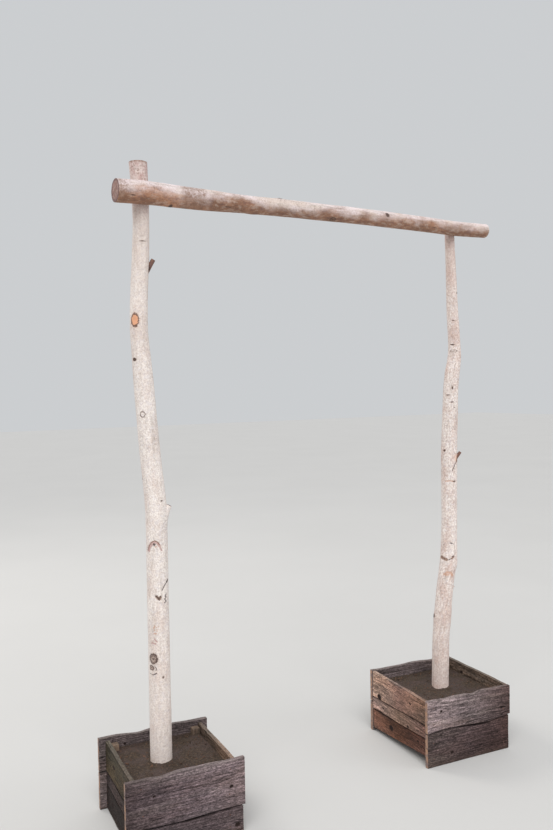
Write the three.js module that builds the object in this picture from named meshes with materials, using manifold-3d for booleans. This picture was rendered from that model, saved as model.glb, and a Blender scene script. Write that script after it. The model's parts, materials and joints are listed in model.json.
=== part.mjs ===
// Garden arch of three bark-covered poles: two posts, each standing in a plank box of soil,
// and a crossbeam bolted to the front of the posts just below the top of the left one.
// Millimetres, +Z up. +X runs along the crossbeam, the front of the arch faces -Y, and the
// origin is on the ground under the middle of the arch.

import * as THREE from 'three';
import { mergeVertices } from 'three/addons/utils/BufferGeometryUtils.js';
import Module from 'manifold-3d';

// Clear gap kept between two pieces that touch.
const SEAT_GAP = 0.3;

// The boxes have one length and one small turn, clockwise from above. The right one is deeper
// and higher, and its side boards are almost flush with the ends of its faces; those of the
// left one are set in. sideFrom is the height of a side's lower edge at the back and the front.
const BOX_LENGTH = 446;
const BOX_TURN = THREE.MathUtils.degToRad(-4.8);
const BOXES = {
  left_box: { x: -673, depth: 412, height: 280, sideInset: 26, sideFrom: [4, 4], sideTop: 268 },
  right_box: { x: 645, depth: 454, height: 286, sideInset: 2, sideFrom: [16, 46], sideTop: 283 },
};

// Boards: the front and back faces have two, the sides three.
const FACE_BOARD_THICKNESS = 20;
const FACE_EDGE_WAVE = 2.2;
const FRONT_LOWER_BOARD_SHORTER = 9;
const SIDE_BOARD_THICKNESS = 18;
const SIDE_EDGE_WAVE = 1.1;
const SIDE_BOARD_CRACK = 1.6;
const BOARD_STEP = 17;

// The edges of a board wave in two lengths: the share, the length and the shift of each.
const EDGE_WAVES = [
  { share: 0.65, length: 47, shift: 1.7 },
  { share: 0.35, length: 19, shift: 2.9 },
];

// Height of the seam between the two boards of a face, at its ends, quarters and middle.
const FACE_SEAMS = {
  left_box_front: [104, 98, 96, 100, 101],
  left_box_back: [142, 138, 136, 143, 147],
  right_box_front: [145, 152, 144, 140, 153],
  right_box_back: [137, 140, 147, 145, 139],
};
const SEAM_CRACK = { least: 1.2, most: 4.6, middle: 40, spread: 62 };

// A worn dip in the top edge of each face: its place, depth and half width.
const FACE_DIPS = {
  left_box_front: { place: -96, depth: 5, spread: 42 },
  left_box_back: { place: 60, depth: 6, spread: 34 },
  right_box_front: { place: 23, depth: 9, spread: 27 },
  right_box_back: { place: -120, depth: 5, spread: 38 },
};

// Heights of a side's two seams, each at the back end and at the front end.
const SIDE_SEAMS = {
  left_box_outer: { lower: [101, 97], upper: [150, 154] },
  left_box_inner: { lower: [96, 99], upper: [152, 147] },
  right_box_outer: { lower: [121, 124], upper: [203, 197] },
  right_box_inner: { lower: [105, 117], upper: [160, 177] },
};

// Inside a box: corner battens, cleats under the floor, the floor panel and the soil.
const BATTEN = 30;
const BATTEN_FROM = 22;
const BATTEN_TOP = 255;
const CLEAT_HEIGHT = 25;
const CLEAT_WIDTH = 30;
const FLOOR_THICKNESS = 18;
const SOIL_TOP = 232;

// Poles: each row is a place along the pole, two places across it and the radius there.
// Posts run up Z with X and Y across. The crossbeam runs along X with Y and Z across.
const LEFT_POST = [
  [0, -702, 4, 41],
  [560, -703, 2, 40],
  [1060, -704, -3, 39.6],
  [1190, -705, -3, 39.6],
  [1400, -723, 0, 38],
  [1650, -739, 4, 36.4],
  [1735, -745, 4, 34.4],
  [1830, -752, 3, 32.6],
  [1950, -750, 2, 31.8],
  [2110, -741, 0, 31],
  [2230, -736, 0, 29.4],
  [2330, -738, 0, 31],
  [2438, -743, 0, 32.6],
];
const RIGHT_POST = [
  [0, 658, 3, 40],
  [440, 666, 2, 37.5],
  [545, 676, 0, 38.8],
  [685, 690, -2, 37.5],
  [755, 702, -3, 37.8],
  [820, 715, -2, 38.4],
  [895, 720, 0, 36.5],
  [1030, 726, 3, 35.4],
  [1315, 730, 5, 36.4],
  [1460, 736, 4, 35],
  [1600, 740, 0, 34],
  [1670, 747, -2, 33.4],
  [1735, 759, -3, 30.6],
  [1810, 759, -3, 27.4],
  [1945, 752, -1, 25.6],
  [2085, 748, 0, 23.8],
  [2190, 744, 0, 22],
  [2352, 736, 0, 20.6],
];
const CROSSBEAM = [
  [-850, -52, 2315, 41],
  [-730, -51, 2318, 41.2],
  [-620, -50, 2317, 39.6],
  [-480, -48, 2316, 38.2],
  [-355, -47, 2317, 34],
  [-100, -44, 2320, 33.4],
  [250, -42, 2321, 32.8],
  [560, -43, 2317, 32],
  [736, -44, 2314, 32],
  [912, -45, 2317, 31],
];
const BEAM_HEIGHT = 2316;
const POLE_SIDES = 18;
const POLE_STEP = 55;
const BARK_SWELL = 0.018;
const BARK_SWELL_LENGTH = 130;

// Stubs of cut side branches: height where one leaves the bark, direction in degrees from +X,
// rise in degrees, radius at its root and at its cut, and reach beyond the bark.
const LEFT_POST_STUBS = [
  [2058, -24, 60, 9.5, 7.5, 34],
  [1170, -22, 64, 22, 9, 20],
];
const RIGHT_POST_STUBS = [
  [1288, -50, 55, 8, 6.5, 24],
  [795, -36, 35, 14, 11, 3],
  [694, -48, 35, 4, 3, 4],
];
const STUB_ROOT_BURIED = 3;
const STUB_SIDES = 10;

// Coach screws that hold the crossbeam, put in from behind each post.
const SCREW_RADIUS = 4;
const SCREW_CLEARANCE = 0.4;
const SCREW_INTO_BEAM = 44;
const WASHER_RADIUS = 12;
const WASHER_THICKNESS = 2;
const SCREW_HEAD_RADIUS = 7.5;
const SCREW_HEAD_HEIGHT = 5.5;
const SCREW_HEAD_SIDES = 6;
const SCREW_SIDES = 16;
const SPOT_FACE_DEPTH = 3;
const SPOT_FACE_RADIUS = WASHER_RADIUS + 2;
const WASHER_SIDES = 24;

// How far a cutting tool runs on past the wood.
const CUT_PAST = 60;

const WOOD_ROUGHNESS = 0.85;
const COLOURS = {
  pale_bark: 0xc9b8a4,
  grey_bark: 0xbba893,
  brown_bark: 0x9a7a62,
  face_board: 0x76675c,
  side_board: 0x86694f,
  inner_wood: 0x8d7557,
  soil: 0x3b2c21,
  zinc: 0x9a9c9e,
};

const FLOOR_FROM = BATTEN_FROM + CLEAT_HEIGHT + SEAT_GAP;
const FLOOR_TO = FLOOR_FROM + FLOOR_THICKNESS;

const wasm = await Module();
wasm.setup();

const X = new THREE.Vector3(1, 0, 0);
const Y = new THREE.Vector3(0, 1, 0);
const Z = new THREE.Vector3(0, 0, 1);

// The solid enclosed by a closed geometry, ready to be joined or cut.
function solidOf(geometry) {
  const bare = geometry.clone();
  bare.deleteAttribute('normal');
  bare.deleteAttribute('uv');
  const merged = mergeVertices(bare, 1e-4);
  return new wasm.Manifold(new wasm.Mesh({
    numProp: 3,
    vertProperties: merged.attributes.position.array,
    triVerts: new Uint32Array(merged.index.array),
  }));
}

function geometryOf(solid) {
  const { vertProperties, triVerts } = solid.getMesh();
  const geometry = new THREE.BufferGeometry();
  geometry.setAttribute('position', new THREE.BufferAttribute(vertProperties, 3));
  geometry.setIndex(new THREE.BufferAttribute(triVerts, 1));
  geometry.computeVertexNormals();
  return geometry;
}

function join(geometry, others) {
  return geometryOf(others.reduce((solid, other) => solid.add(solidOf(other)), solidOf(geometry)));
}

function cut(geometry, others) {
  return geometryOf(others.reduce((solid, other) => solid.subtract(solidOf(other)), solidOf(geometry)));
}

function piece(name, geometry, colour, roughness = WOOD_ROUGHNESS, metalness = 0) {
  const material = new THREE.MeshStandardMaterial({ color: colour, roughness, metalness });
  const mesh = new THREE.Mesh(geometry, material);
  mesh.name = name;
  return mesh;
}

// Where a pole's middle is across it, and its radius, at any place along it.
function poleLine(stations) {
  const along = stations.map((station) => station[0]);
  const values = stations.flatMap((station) => station.slice(1));
  const line = new THREE.CubicInterpolant(along, values, 3);
  return (place) => {
    const [across, aside, radius] = line.evaluate(place);
    return { across, aside, radius };
  };
}

// A pole up Z: a cylinder whose rings are moved to the pole's bent middle line and swell a
// little. It starts at the height given, and extra widens it all round.
function pole(stations, start = stations[0][0], extra = 0) {
  const line = poleLine(stations);
  const length = stations.at(-1)[0] - start;
  const geometry = new THREE.CylinderGeometry(1, 1, 1, POLE_SIDES, Math.round(length / POLE_STEP));
  geometry.rotateX(Math.PI / 2);
  const position = geometry.attributes.position;
  for (let i = 0; i < position.count; i += 1) {
    const [x, y, z] = [position.getX(i), position.getY(i), position.getZ(i)];
    const place = start + (z + 0.5) * length;
    const { across, aside, radius } = line(place);
    const swell = 1 + BARK_SWELL * Math.sin(2 * Math.atan2(y, x) + place / BARK_SWELL_LENGTH);
    const reach = radius * swell + extra;
    position.setXYZ(i, across + x * reach, aside + y * reach, place);
  }
  return geometry;
}

// Turns a pole that was made up Z so that it lies along X.
function layAlongX(geometry) {
  return geometry.applyMatrix4(new THREE.Matrix4().makeBasis(Y, Z, X));
}

// A stub of a cut side branch, rising outwards, with its root just deep enough in the pole.
function branchStub(stations, [height, degrees, rise, rootRadius, cutRadius, reach]) {
  const { across, aside, radius } = poleLine(stations)(height);
  const slope = THREE.MathUtils.degToRad(rise);
  const depth = rootRadius * Math.tan(slope) + STUB_ROOT_BURIED;
  const stub = new THREE.CylinderGeometry(cutRadius, rootRadius, depth + reach, STUB_SIDES);
  stub.translate(0, (reach - depth) / 2, 0);
  stub.rotateZ(-Math.PI / 2 + slope);
  stub.translate(radius, 0, 0);
  stub.rotateX(Math.PI / 2);
  stub.rotateZ(THREE.MathUtils.degToRad(degrees));
  return stub.translate(across, aside, height);
}

// A round bar along Y from one place to another, such as a hole or a screw's shank.
function barAlongY(x, z, from, to, radius, sides = SCREW_SIDES) {
  const bar = new THREE.CylinderGeometry(radius, radius, to - from, sides);
  return bar.translate(x, (from + to) / 2, z);
}

// Places along Y of one coach screw: its point in the beam and the flat behind the post.
function screwPlaces(postStations) {
  const post = poleLine(postStations)(BEAM_HEIGHT);
  const beam = poleLine(CROSSBEAM)(post.across);
  const flat = post.aside + post.radius - SPOT_FACE_DEPTH;
  return { x: post.across, z: beam.aside, point: beam.across + beam.radius - SCREW_INTO_BEAM, flat };
}

function screwHole({ x, z, point, flat }) {
  return barAlongY(x, z, point - SEAT_GAP, flat + CUT_PAST, SCREW_RADIUS + SCREW_CLEARANCE);
}

function coachScrew({ x, z, point, flat }) {
  const washerFrom = flat + SEAT_GAP;
  const washerTo = washerFrom + WASHER_THICKNESS;
  const headTo = washerTo + SCREW_HEAD_HEIGHT;
  const washer = barAlongY(x, z, washerFrom, washerTo, WASHER_RADIUS, WASHER_SIDES);
  const shank = barAlongY(x, z, point, washerTo, SCREW_RADIUS);
  const head = barAlongY(x, z, washerFrom, headTo, SCREW_HEAD_RADIUS, SCREW_HEAD_SIDES);
  return join(washer, [shank, head]);
}

// A post: stubs joined on, a saddle for the crossbeam, the screw's hole and its flat.
function postGeometry(stations, stubs, saddle) {
  const places = screwPlaces(stations);
  const upright = pole(stations, FLOOR_TO + SEAT_GAP);
  const whole = join(upright, stubs.map((stub) => branchStub(stations, stub)));
  const { x, z, flat } = places;
  const spotFace = barAlongY(x, z, flat, flat + CUT_PAST, SPOT_FACE_RADIUS, WASHER_SIDES);
  return cut(whole, [saddle, screwHole(places), spotFace]);
}

// A value that runs smoothly through five heights spread evenly over a length.
function alongFive(values, length) {
  const places = values.map((value, i) => (i / (values.length - 1) - 0.5) * length);
  const line = new THREE.CubicInterpolant(places, values, 1);
  return (x) => line.evaluate(x)[0];
}

// A wavy line along X, as a sawn board's edge has, different for each seed.
function edgeWave(size, seed) {
  const wave = (x) => ({ share, length, shift }) => share * Math.sin(x / length + shift * seed);
  return (x) => size * EDGE_WAVES.map(wave(x)).reduce((sum, part) => sum + part, 0);
}

// A board on edge: its length along X, its edges at the heights low and high, and its
// thickness from Y 0 towards -Y.
function board(from, to, low, high, thickness) {
  const steps = Math.round((to - from) / BOARD_STEP);
  const places = Array.from({ length: steps + 1 }, (unused, i) => from + ((to - from) * i) / steps);
  const lower = places.map((x) => new THREE.Vector2(x, low(x)));
  const upper = places.map((x) => new THREE.Vector2(x, high(x))).reverse();
  const shape = new THREE.Shape([...lower, ...upper]);
  const geometry = new THREE.ExtrudeGeometry(shape, { depth: thickness, bevelEnabled: false });
  return geometry.rotateX(Math.PI / 2);
}

// The two boards of a box's front or back face, made facing -Y. The lower one may be shorter.
function faceBoards(name, height, shorter, seed) {
  const half = BOX_LENGTH / 2;
  const seam = alongFive(FACE_SEAMS[name], BOX_LENGTH);
  const { least, most, middle, spread } = SEAM_CRACK;
  const crack = (x) => least + (most - least) * Math.exp(-(((x - middle) / spread) ** 2));
  const wave = edgeWave(FACE_EDGE_WAVE, seed);
  const { place, depth, spread: dipSpread } = FACE_DIPS[name];
  const dip = (x) => depth * Math.exp(-(((x - place) / dipSpread) ** 2));
  const top = (x) => height - FACE_EDGE_WAVE + wave(x) - dip(x);
  const upper = board(-half, half, (x) => seam(x) + crack(x) / 2, top, FACE_BOARD_THICKNESS);
  const lowerTop = (x) => seam(x) - crack(x) / 2;
  const lower = board(-half, half - shorter, () => 0, lowerTop, FACE_BOARD_THICKNESS);
  return [
    piece(`${name}_upper_board`, upper, COLOURS.face_board),
    piece(`${name}_lower_board`, lower, COLOURS.face_board),
  ];
}

// The three boards of a box's side, made along X with their outer faces to -Y. Way is 1 on
// the side that faces +X, whose boards have their front end at -X, and -1 on the other.
function sideBoards(name, { depth, sideFrom, sideTop }, way, seed) {
  const half = depth / 2 - FACE_BOARD_THICKNESS - SEAT_GAP;
  const slope = ([back, front]) => (x) => back + (front - back) * (0.5 - (way * x) / (2 * half));
  const seams = SIDE_SEAMS[name];
  const edges = [slope(sideFrom), slope(seams.lower), slope(seams.upper), () => sideTop];
  const waves = edges.map((edge, i) => edgeWave(i === 0 ? 0 : SIDE_EDGE_WAVE, seed + i));
  return ['lower', 'middle', 'upper'].map((row, i) => {
    const crack = i === 0 ? 0 : SIDE_BOARD_CRACK;
    const low = (x) => edges[i](x) + waves[i](x) + crack;
    const high = (x) => edges[i + 1](x) + waves[i + 1](x);
    const geometry = board(-half, half, low, high, SIDE_BOARD_THICKNESS);
    return piece(`${name}_${row}_board`, geometry, COLOURS.side_board);
  });
}

// The outline of the box's inside with a square taken out of each corner for its batten.
function crossShape(halfLength, halfDepth, notch) {
  const shape = new THREE.Shape();
  shape.moveTo(halfLength, halfDepth - notch);
  for (const [sx, sy] of [[1, 1], [-1, 1], [-1, -1], [1, -1]]) {
    const beside = [sx * halfLength, sy * (halfDepth - notch)];
    const inside = [sx * (halfLength - notch), sy * (halfDepth - notch)];
    const above = [sx * (halfLength - notch), sy * halfDepth];
    const corners = sx * sy > 0 ? [beside, inside, above] : [above, inside, beside];
    corners.forEach(([x, y]) => shape.lineTo(x, y));
  }
  return shape;
}

function slab(shape, from, to) {
  const geometry = new THREE.ExtrudeGeometry(shape, { depth: to - from, bevelEnabled: false });
  return geometry.translate(0, 0, from);
}

// One box with everything in it. Its outer side is the one away from the arch's middle.
function plankBox(name, outwards, post, seed) {
  const size = BOXES[name];
  const box = new THREE.Group();
  box.position.x = size.x;
  box.rotation.z = BOX_TURN;
  box.updateMatrixWorld();

  const faceInside = size.depth / 2 - FACE_BOARD_THICKNESS;
  [['front', FRONT_LOWER_BOARD_SHORTER, seed], ['back', 0, seed + 1]].forEach(([face, shorter, faceSeed]) => {
    const holder = new THREE.Group();
    holder.rotation.z = face === 'front' ? 0 : Math.PI;
    faceBoards(`${name}_${face}`, size.height, shorter, faceSeed).forEach((mesh) => {
      mesh.position.y = -faceInside;
      holder.add(mesh);
    });
    box.add(holder);
  });

  const sideInside = BOX_LENGTH / 2 - size.sideInset - SIDE_BOARD_THICKNESS;
  [['outer', outwards, seed + 2], ['inner', -outwards, seed + 5]].forEach(([side, way, sideSeed]) => {
    const holder = new THREE.Group();
    holder.rotation.z = (way * Math.PI) / 2;
    sideBoards(`${name}_${side}`, size, way, sideSeed).forEach((mesh) => {
      mesh.position.y = -sideInside;
      holder.add(mesh);
    });
    box.add(holder);
  });

  const halfLength = sideInside - SEAT_GAP;
  const halfDepth = faceInside - SEAT_GAP;
  for (const [side, way] of [['outer', outwards], ['inner', -outwards]]) {
    for (const [face, along] of [['front', -1], ['back', 1]]) {
      const batten = new THREE.BoxGeometry(BATTEN, BATTEN, BATTEN_TOP - BATTEN_FROM);
      const mesh = piece(`${name}_${side}_${face}_batten`, batten, COLOURS.inner_wood);
      const middle = (BATTEN_TOP + BATTEN_FROM) / 2;
      mesh.position.set(way * (halfLength - BATTEN / 2), along * (halfDepth - BATTEN / 2), middle);
      box.add(mesh);
    }
  }

  for (const [face, along] of [['front', -1], ['back', 1]]) {
    const length = 2 * (halfLength - BATTEN - SEAT_GAP);
    const cleat = new THREE.BoxGeometry(length, CLEAT_WIDTH, CLEAT_HEIGHT);
    const mesh = piece(`${name}_${face}_floor_cleat`, cleat, COLOURS.inner_wood);
    const middle = BATTEN_FROM + CLEAT_HEIGHT / 2;
    mesh.position.set(0, along * (halfDepth - CLEAT_WIDTH / 2), middle);
    box.add(mesh);
  }

  const inside = crossShape(halfLength, halfDepth, BATTEN + SEAT_GAP);
  box.add(piece(`${name}_floor_panel`, slab(inside, FLOOR_FROM, FLOOR_TO), COLOURS.inner_wood));

  const buried = pole(post, 0, SEAT_GAP).applyMatrix4(box.matrixWorld.clone().invert());
  const soil = cut(slab(inside, FLOOR_TO + SEAT_GAP, SOIL_TOP), [buried]);
  box.add(piece(`${name}_soil`, soil, COLOURS.soil, 1));
  return box;
}

const arch = new THREE.Group();

const saddle = layAlongX(pole(CROSSBEAM, CROSSBEAM[0][0], SEAT_GAP));
arch.add(piece('left_post', postGeometry(LEFT_POST, LEFT_POST_STUBS, saddle), COLOURS.pale_bark));
arch.add(piece('right_post', postGeometry(RIGHT_POST, RIGHT_POST_STUBS, saddle), COLOURS.grey_bark));

const leftScrew = screwPlaces(LEFT_POST);
const rightScrew = screwPlaces(RIGHT_POST);
const beam = cut(layAlongX(pole(CROSSBEAM)), [screwHole(leftScrew), screwHole(rightScrew)]);
arch.add(piece('crossbeam', beam, COLOURS.brown_bark));
arch.add(piece('left_coach_screw', coachScrew(leftScrew), COLOURS.zinc, 0.45, 1));
arch.add(piece('right_coach_screw', coachScrew(rightScrew), COLOURS.zinc, 0.45, 1));

arch.add(plankBox('left_box', -1, LEFT_POST, 1));
arch.add(plankBox('right_box', 1, RIGHT_POST, 4));

export default arch;
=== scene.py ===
"""Garden arch of three bark-covered poles on two plank boxes that are filled with soil.

The file is laid out as an add-on and is run as a script. Every piece is modelled around the
packed arch, which is the fixed frame: metres, +Z up, +X along the crossbeam, the front of
the arch faces -Y, and the origin is level with its feet, under its middle.
"""

import json
import math
import random
from bisect import bisect_right
from contextlib import contextmanager
from functools import reduce
from typing import NamedTuple

import bmesh
import bpy
import numpy as np
from bpy.props import FloatProperty, FloatVectorProperty, PointerProperty
from bpy.types import Operator, Panel, PropertyGroup
from mathutils import Matrix, Vector

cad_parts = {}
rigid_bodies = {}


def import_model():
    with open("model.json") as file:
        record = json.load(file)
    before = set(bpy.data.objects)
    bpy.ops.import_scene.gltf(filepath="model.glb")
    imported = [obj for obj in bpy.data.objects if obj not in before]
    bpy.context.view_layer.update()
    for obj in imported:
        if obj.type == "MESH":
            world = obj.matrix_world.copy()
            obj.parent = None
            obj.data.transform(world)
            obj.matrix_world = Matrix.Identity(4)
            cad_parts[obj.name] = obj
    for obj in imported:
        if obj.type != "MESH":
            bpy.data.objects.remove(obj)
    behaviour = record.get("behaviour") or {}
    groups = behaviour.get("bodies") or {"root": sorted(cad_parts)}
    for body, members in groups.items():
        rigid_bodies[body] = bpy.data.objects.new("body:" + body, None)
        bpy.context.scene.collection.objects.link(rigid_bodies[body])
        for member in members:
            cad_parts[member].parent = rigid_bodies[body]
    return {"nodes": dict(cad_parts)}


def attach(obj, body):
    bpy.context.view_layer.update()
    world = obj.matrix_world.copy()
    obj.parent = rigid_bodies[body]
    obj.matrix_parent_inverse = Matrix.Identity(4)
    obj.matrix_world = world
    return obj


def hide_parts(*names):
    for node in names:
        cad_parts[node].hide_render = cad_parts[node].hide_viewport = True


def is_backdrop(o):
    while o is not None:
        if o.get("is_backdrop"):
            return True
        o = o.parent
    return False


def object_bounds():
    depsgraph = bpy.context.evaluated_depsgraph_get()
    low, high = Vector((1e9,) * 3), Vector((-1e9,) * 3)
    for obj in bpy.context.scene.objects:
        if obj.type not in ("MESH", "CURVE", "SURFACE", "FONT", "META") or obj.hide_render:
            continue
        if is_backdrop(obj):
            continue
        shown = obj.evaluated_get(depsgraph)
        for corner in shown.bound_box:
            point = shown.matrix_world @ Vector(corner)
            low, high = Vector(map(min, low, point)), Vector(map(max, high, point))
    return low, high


bl_info = {
    "name": "Rustic Garden Arch",
    "version": (1, 0, 0),
    "blender": (4, 5, 0),
    "location": "View3D > Sidebar > Arch",
    "description": "Bark-covered arch poles, plank boxes, soil, screws and a plain studio",
    "category": "Object",
}

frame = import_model()
CAD_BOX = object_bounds()
MM = 0.001

# Poles, in millimetres: a place along the pole, two places across it and the radius there.
# Posts run up Z with X and Y across. The crossbeam runs along X with Y and Z across.
LEFT_POST = (
    (0, -702, 4, 41), (560, -703, 2, 40), (1060, -704, -3, 39.6), (1190, -705, -3, 39.6),
    (1400, -723, 0, 38), (1650, -739, 4, 36.4), (1735, -745, 4, 34.4), (1830, -752, 3, 32.6),
    (1950, -750, 2, 31.8), (2110, -741, 0, 31), (2230, -736, 0, 29.4), (2330, -738, 0, 31),
    (2438, -743, 0, 32.6),
)
RIGHT_POST = (
    (0, 658, 3, 40), (440, 666, 2, 37.5), (545, 676, 0, 38.8), (685, 690, -2, 37.5),
    (755, 702, -3, 37.8), (820, 715, -2, 38.4), (895, 720, 0, 36.5), (1030, 726, 3, 35.4),
    (1315, 730, 5, 36.4), (1460, 736, 4, 35), (1600, 740, 0, 34), (1670, 747, -2, 33.4),
    (1735, 759, -3, 30.6), (1810, 759, -3, 27.4), (1945, 752, -1, 25.6), (2085, 748, 0, 23.8),
    (2190, 744, 0, 22), (2352, 736, 0, 20.6),
)
CROSSBEAM = (
    (-850, -52, 2315, 41), (-730, -51, 2318, 41.2), (-620, -50, 2317, 39.6),
    (-480, -48, 2316, 38.2), (-355, -47, 2317, 34), (-100, -44, 2320, 33.4),
    (250, -42, 2321, 32.8), (560, -43, 2317, 32), (736, -44, 2314, 32), (912, -45, 2317, 31),
)
BEAM_HEIGHT = 2.316
POST_FOOT = 0.0663
END_MARGIN = 0.0012
POLE_SIDES = 24
POLE_STEP = 0.018
# A sawn end keeps a sharp rim by this crease. Inside its bark it is sunk, then inset once more.
RIM_CREASE = 0.92
END_SUNK = 0.0004
END_INSET = 0.012
# A ring of this many sides shrinks by this share when it is rounded off.
RING_ROUNDING = (2 + math.cos(2 * math.pi / POLE_SIDES)) / 3

# Stubs of cut side branches: height, degrees from +X, rise in degrees, radius at the root and
# at the cut, reach, and whether the stub is dark and weathered. Lengths are in millimetres.
LEFT_STUBS = ((2058, -24, 60, 9.5, 7.5, 34, True), (1170, -22, 64, 22, 9, 20, False))
RIGHT_STUBS = ((1288, -50, 55, 8, 6.5, 24, True), (694, -48, 35, 4, 3, 4, False))
# How much deeper than the bark a stub's root goes, in millimetres, and its rows, in metres.
STUB_ROOT = 3
STUB_ROW = 0.004

# Swellings and hollows of the bark: height, degrees, how far out, how wide, millimetres.
LEFT_BUMPS = (
    (1867, -137, 1.6, 34), (1867, -137, -2.6, 16), (1527, -132, 1.5, 22), (1527, -132, -1.6, 9),
    (1726, -158, 1.0, 18), (1045, -128, 2.2, 34), (1036, -128, -1.8, 15), (855, -111, 1.2, 24),
    (1150, -22, 2.5, 48),
    (855, -111, -1.6, 11), (629, -141, 2.6, 38), (629, -141, -2.8, 17), (582, -150, 1.6, 22),
    (795, 60, 3.0, 45), (1390, 75, 3.2, 42), (1385, 75, -2.4, 16), (2010, 120, 2.4, 34),
)
RIGHT_BUMPS = (
    (1767, -139, 2.0, 26), (1767, -139, -1.4, 9), (893, -137, 1.2, 22), (824, -174, 2.2, 28),
    (824, -174, -2.0, 12), (795, -43, 3.2, 34), (759, -128, 0.8, 22), (1178, -112, 0.8, 16),
    (1568, -153, 1.0, 20), (1100, 80, 2.6, 38), (1100, 80, -2.0, 15), (560, 150, 2.2, 36),
)
BEAM_BUMPS = (
    (-646, -100, 2.6, 26), (-560, -150, 1.2, 40), (-300, -60, 1.6, 34), (60, -120, 2.4, 32),
    (60, -120, -2.0, 13), (330, 160, 2.0, 34), (620, -150, 1.8, 28), (-180, 100, 2.4, 36),
)

# Marks in the bark: kind, height, degrees, half width and half height, millimetres.
LEFT_MARKS = (
    ("wound", 1867, -137, 15, 23), ("knot", 1726, -158, 8, 6), ("eye", 1527, -132, 10, 11),
    ("scar", 1210, -76, 5, 3), ("ringed", 629, -143, 15, 18), ("ringed", 595, -155, 10, 9),
    ("scar", 559, -92, 4, 5), ("ringed", 1388, 75, 15, 19),
    ("knot", 795, 60, 13, 9), ("brow", 1960, 120, 22, 15), ("scar", 1290, 160, 15, 2),
    ("scar", 2150, -100, 11, 2), ("knot", 2012, 121, 9, 7),
)
RIGHT_MARKS = (
    ("eye", 1767, -139, 17, 5), ("scar", 1796, -150, 11, 3), ("knot", 1316, -167, 6, 5),
    ("stain", 1281, -66, 14, 15), ("scar", 1175, -95, 9, 4),
    ("scar", 1600, -121, 4, 9), ("scar", 1568, -153, 9, 3), ("scar", 1536, -121, 8, 3),
    ("scar", 1512, -100, 5, 2), ("ringed", 1098, 80, 13, 17), ("knot", 562, 150, 11, 8),
    ("scar", 1905, -130, 7, 2), ("knot", 2030, -60, 5, 4), ("brow", 1420, 110, 19, 13),
)
BEAM_MARKS = (
    ("knot", -646, -100, 12, 7), ("ringed", 60, -120, 11, 13), ("knot", 330, 160, 9, 9),
    ("scar", -700, -30, 3, 14), ("scar", -420, -140, 2, 18), ("scar", 150, -60, 2, 15),
    ("knot", -182, 100, 10, 10), ("scar", 590, -150, 2, 12), ("scar", -795, -150, 2, 10),
)

# Lines and blots drawn in the bark: kind, half width, then height and degrees of each point.
LEFT_STROKES = (
    ("dark", 1.6, (930, -14), (912, -50), (898, -74), (882, -88)),
    ("dark", 3.8, (914, -46), (909, -55)),
    ("faint", 6.6, (1030, -160), (1043, -152), (1056, -140)),
    ("faint", 5.0, (1056, -140), (1062, -124)),
    ("faint", 4.2, (1062, -124), (1058, -110), (1046, -98)),
    ("faint", 2.8, (1046, -98), (1029, -87)),
    ("brown", 1.8, (1031, -166), (1047, -154), (1061, -138), (1066, -124), (1061, -108),
     (1050, -97)),
    ("dark", 4.6, (1052, -126)), ("tan", 3.4, (1044, -118)),
    ("brown", 5.2, (860, -119), (852, -108)),
    ("brown", 4.8, (857, -98), (850, -105)), ("dark", 1.9, (863, -123), (855, -111), (847, -105)),
    ("dark", 1.8, (861, -97), (853, -103)),
    ("dark", 1.7, (865, -61), (859, -70), (853, -62), (848, -74), (838, -62), (834, -75)),
    ("tan", 2.6, (751, -132), (743, -137)), ("tan", 2.2, (745, -123)), ("tan", 2.4, (737, -119)),
    ("tan", 2.6, (735, -133)), ("tan", 2.4, (749, -114)), ("tan", 2.8, (724, -136), (723, -124)),
    ("tan", 2.0, (731, -120)), ("faint", 2.4, (702, -134), (692, -121)), ("faint", 2.2, (695, -144)),
    ("faint", 2.4, (688, -151), (685, -128)), ("dark", 2.0, (573, -164), (569, -146), (575, -128)),
    ("dark", 1.2, (600, -134), (592, -126), (586, -130)),
)
RIGHT_STROKES = (
    ("dark", 1.1, (886, -175), (894, -147), (896, -121), (891, -99)),
    ("dark", 2.6, (896, -120), (895, -114)),
    ("dark", 1.3, (1797, -166), (1793, -140)),
    ("dark", 1.6, (1272, -64), (1253, -86), (1236, -100), (1226, -107)),
    ("tan", 2.8, (1176, -158), (1179, -130), (1177, -106)), ("brown", 7.0, (1268, -62), (1284, -54)),
    ("brown", 7.4, (829, -192), (828, -176)), ("brown", 6.6, (828, -176), (821, -148)),
    ("dark", 2.2, (832, -184), (824, -160)), ("dark", 1.6, (821, -130), (826, -115)),
    ("dark", 1.8, (834, -111), (838, -96)), ("brown", 3.6, (827, -112), (834, -97)),
    ("tan", 5.0, (756, -150), (765, -134), (763, -107), (750, -90)),
    ("tan", 4.0, (753, -140), (755, -120)),
)

POSTS = {
    "left_post": (LEFT_POST, LEFT_STUBS, LEFT_BUMPS, LEFT_MARKS, LEFT_STROKES),
    "right_post": (RIGHT_POST, RIGHT_STUBS, RIGHT_BUMPS, RIGHT_MARKS, RIGHT_STROKES),
}

# Coach screws, in metres, and what is cut into the poles for them. The point and the flat are
# measured from the back of the beam and of the post, the saddle's reach from its middle.
SHANK_RADIUS = 0.004
TIP_LENGTH = 0.006
WASHER_RADIUS = 0.012
WASHER_THICKNESS = 0.002
HEAD_RADIUS = 0.0075
HEAD_HEIGHT = 0.0055
HOLE_RADIUS = 0.0044
SPOT_FACE_RADIUS = 0.014
DRILL_CLEARANCE = 0.06
POINT_DEPTH = 0.044
FLAT_DEPTH = 0.003
SADDLE_REACH = 0.09
SADDLE_CLEARANCE = 0.0006
# The cone that chamfers a head: its radius at the top, its height and how fast it widens.
CHAMFER_RADIUS = 0.0066
CHAMFER_HEIGHT = 0.0078
CHAMFER_SLOPE = 1.732

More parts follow.
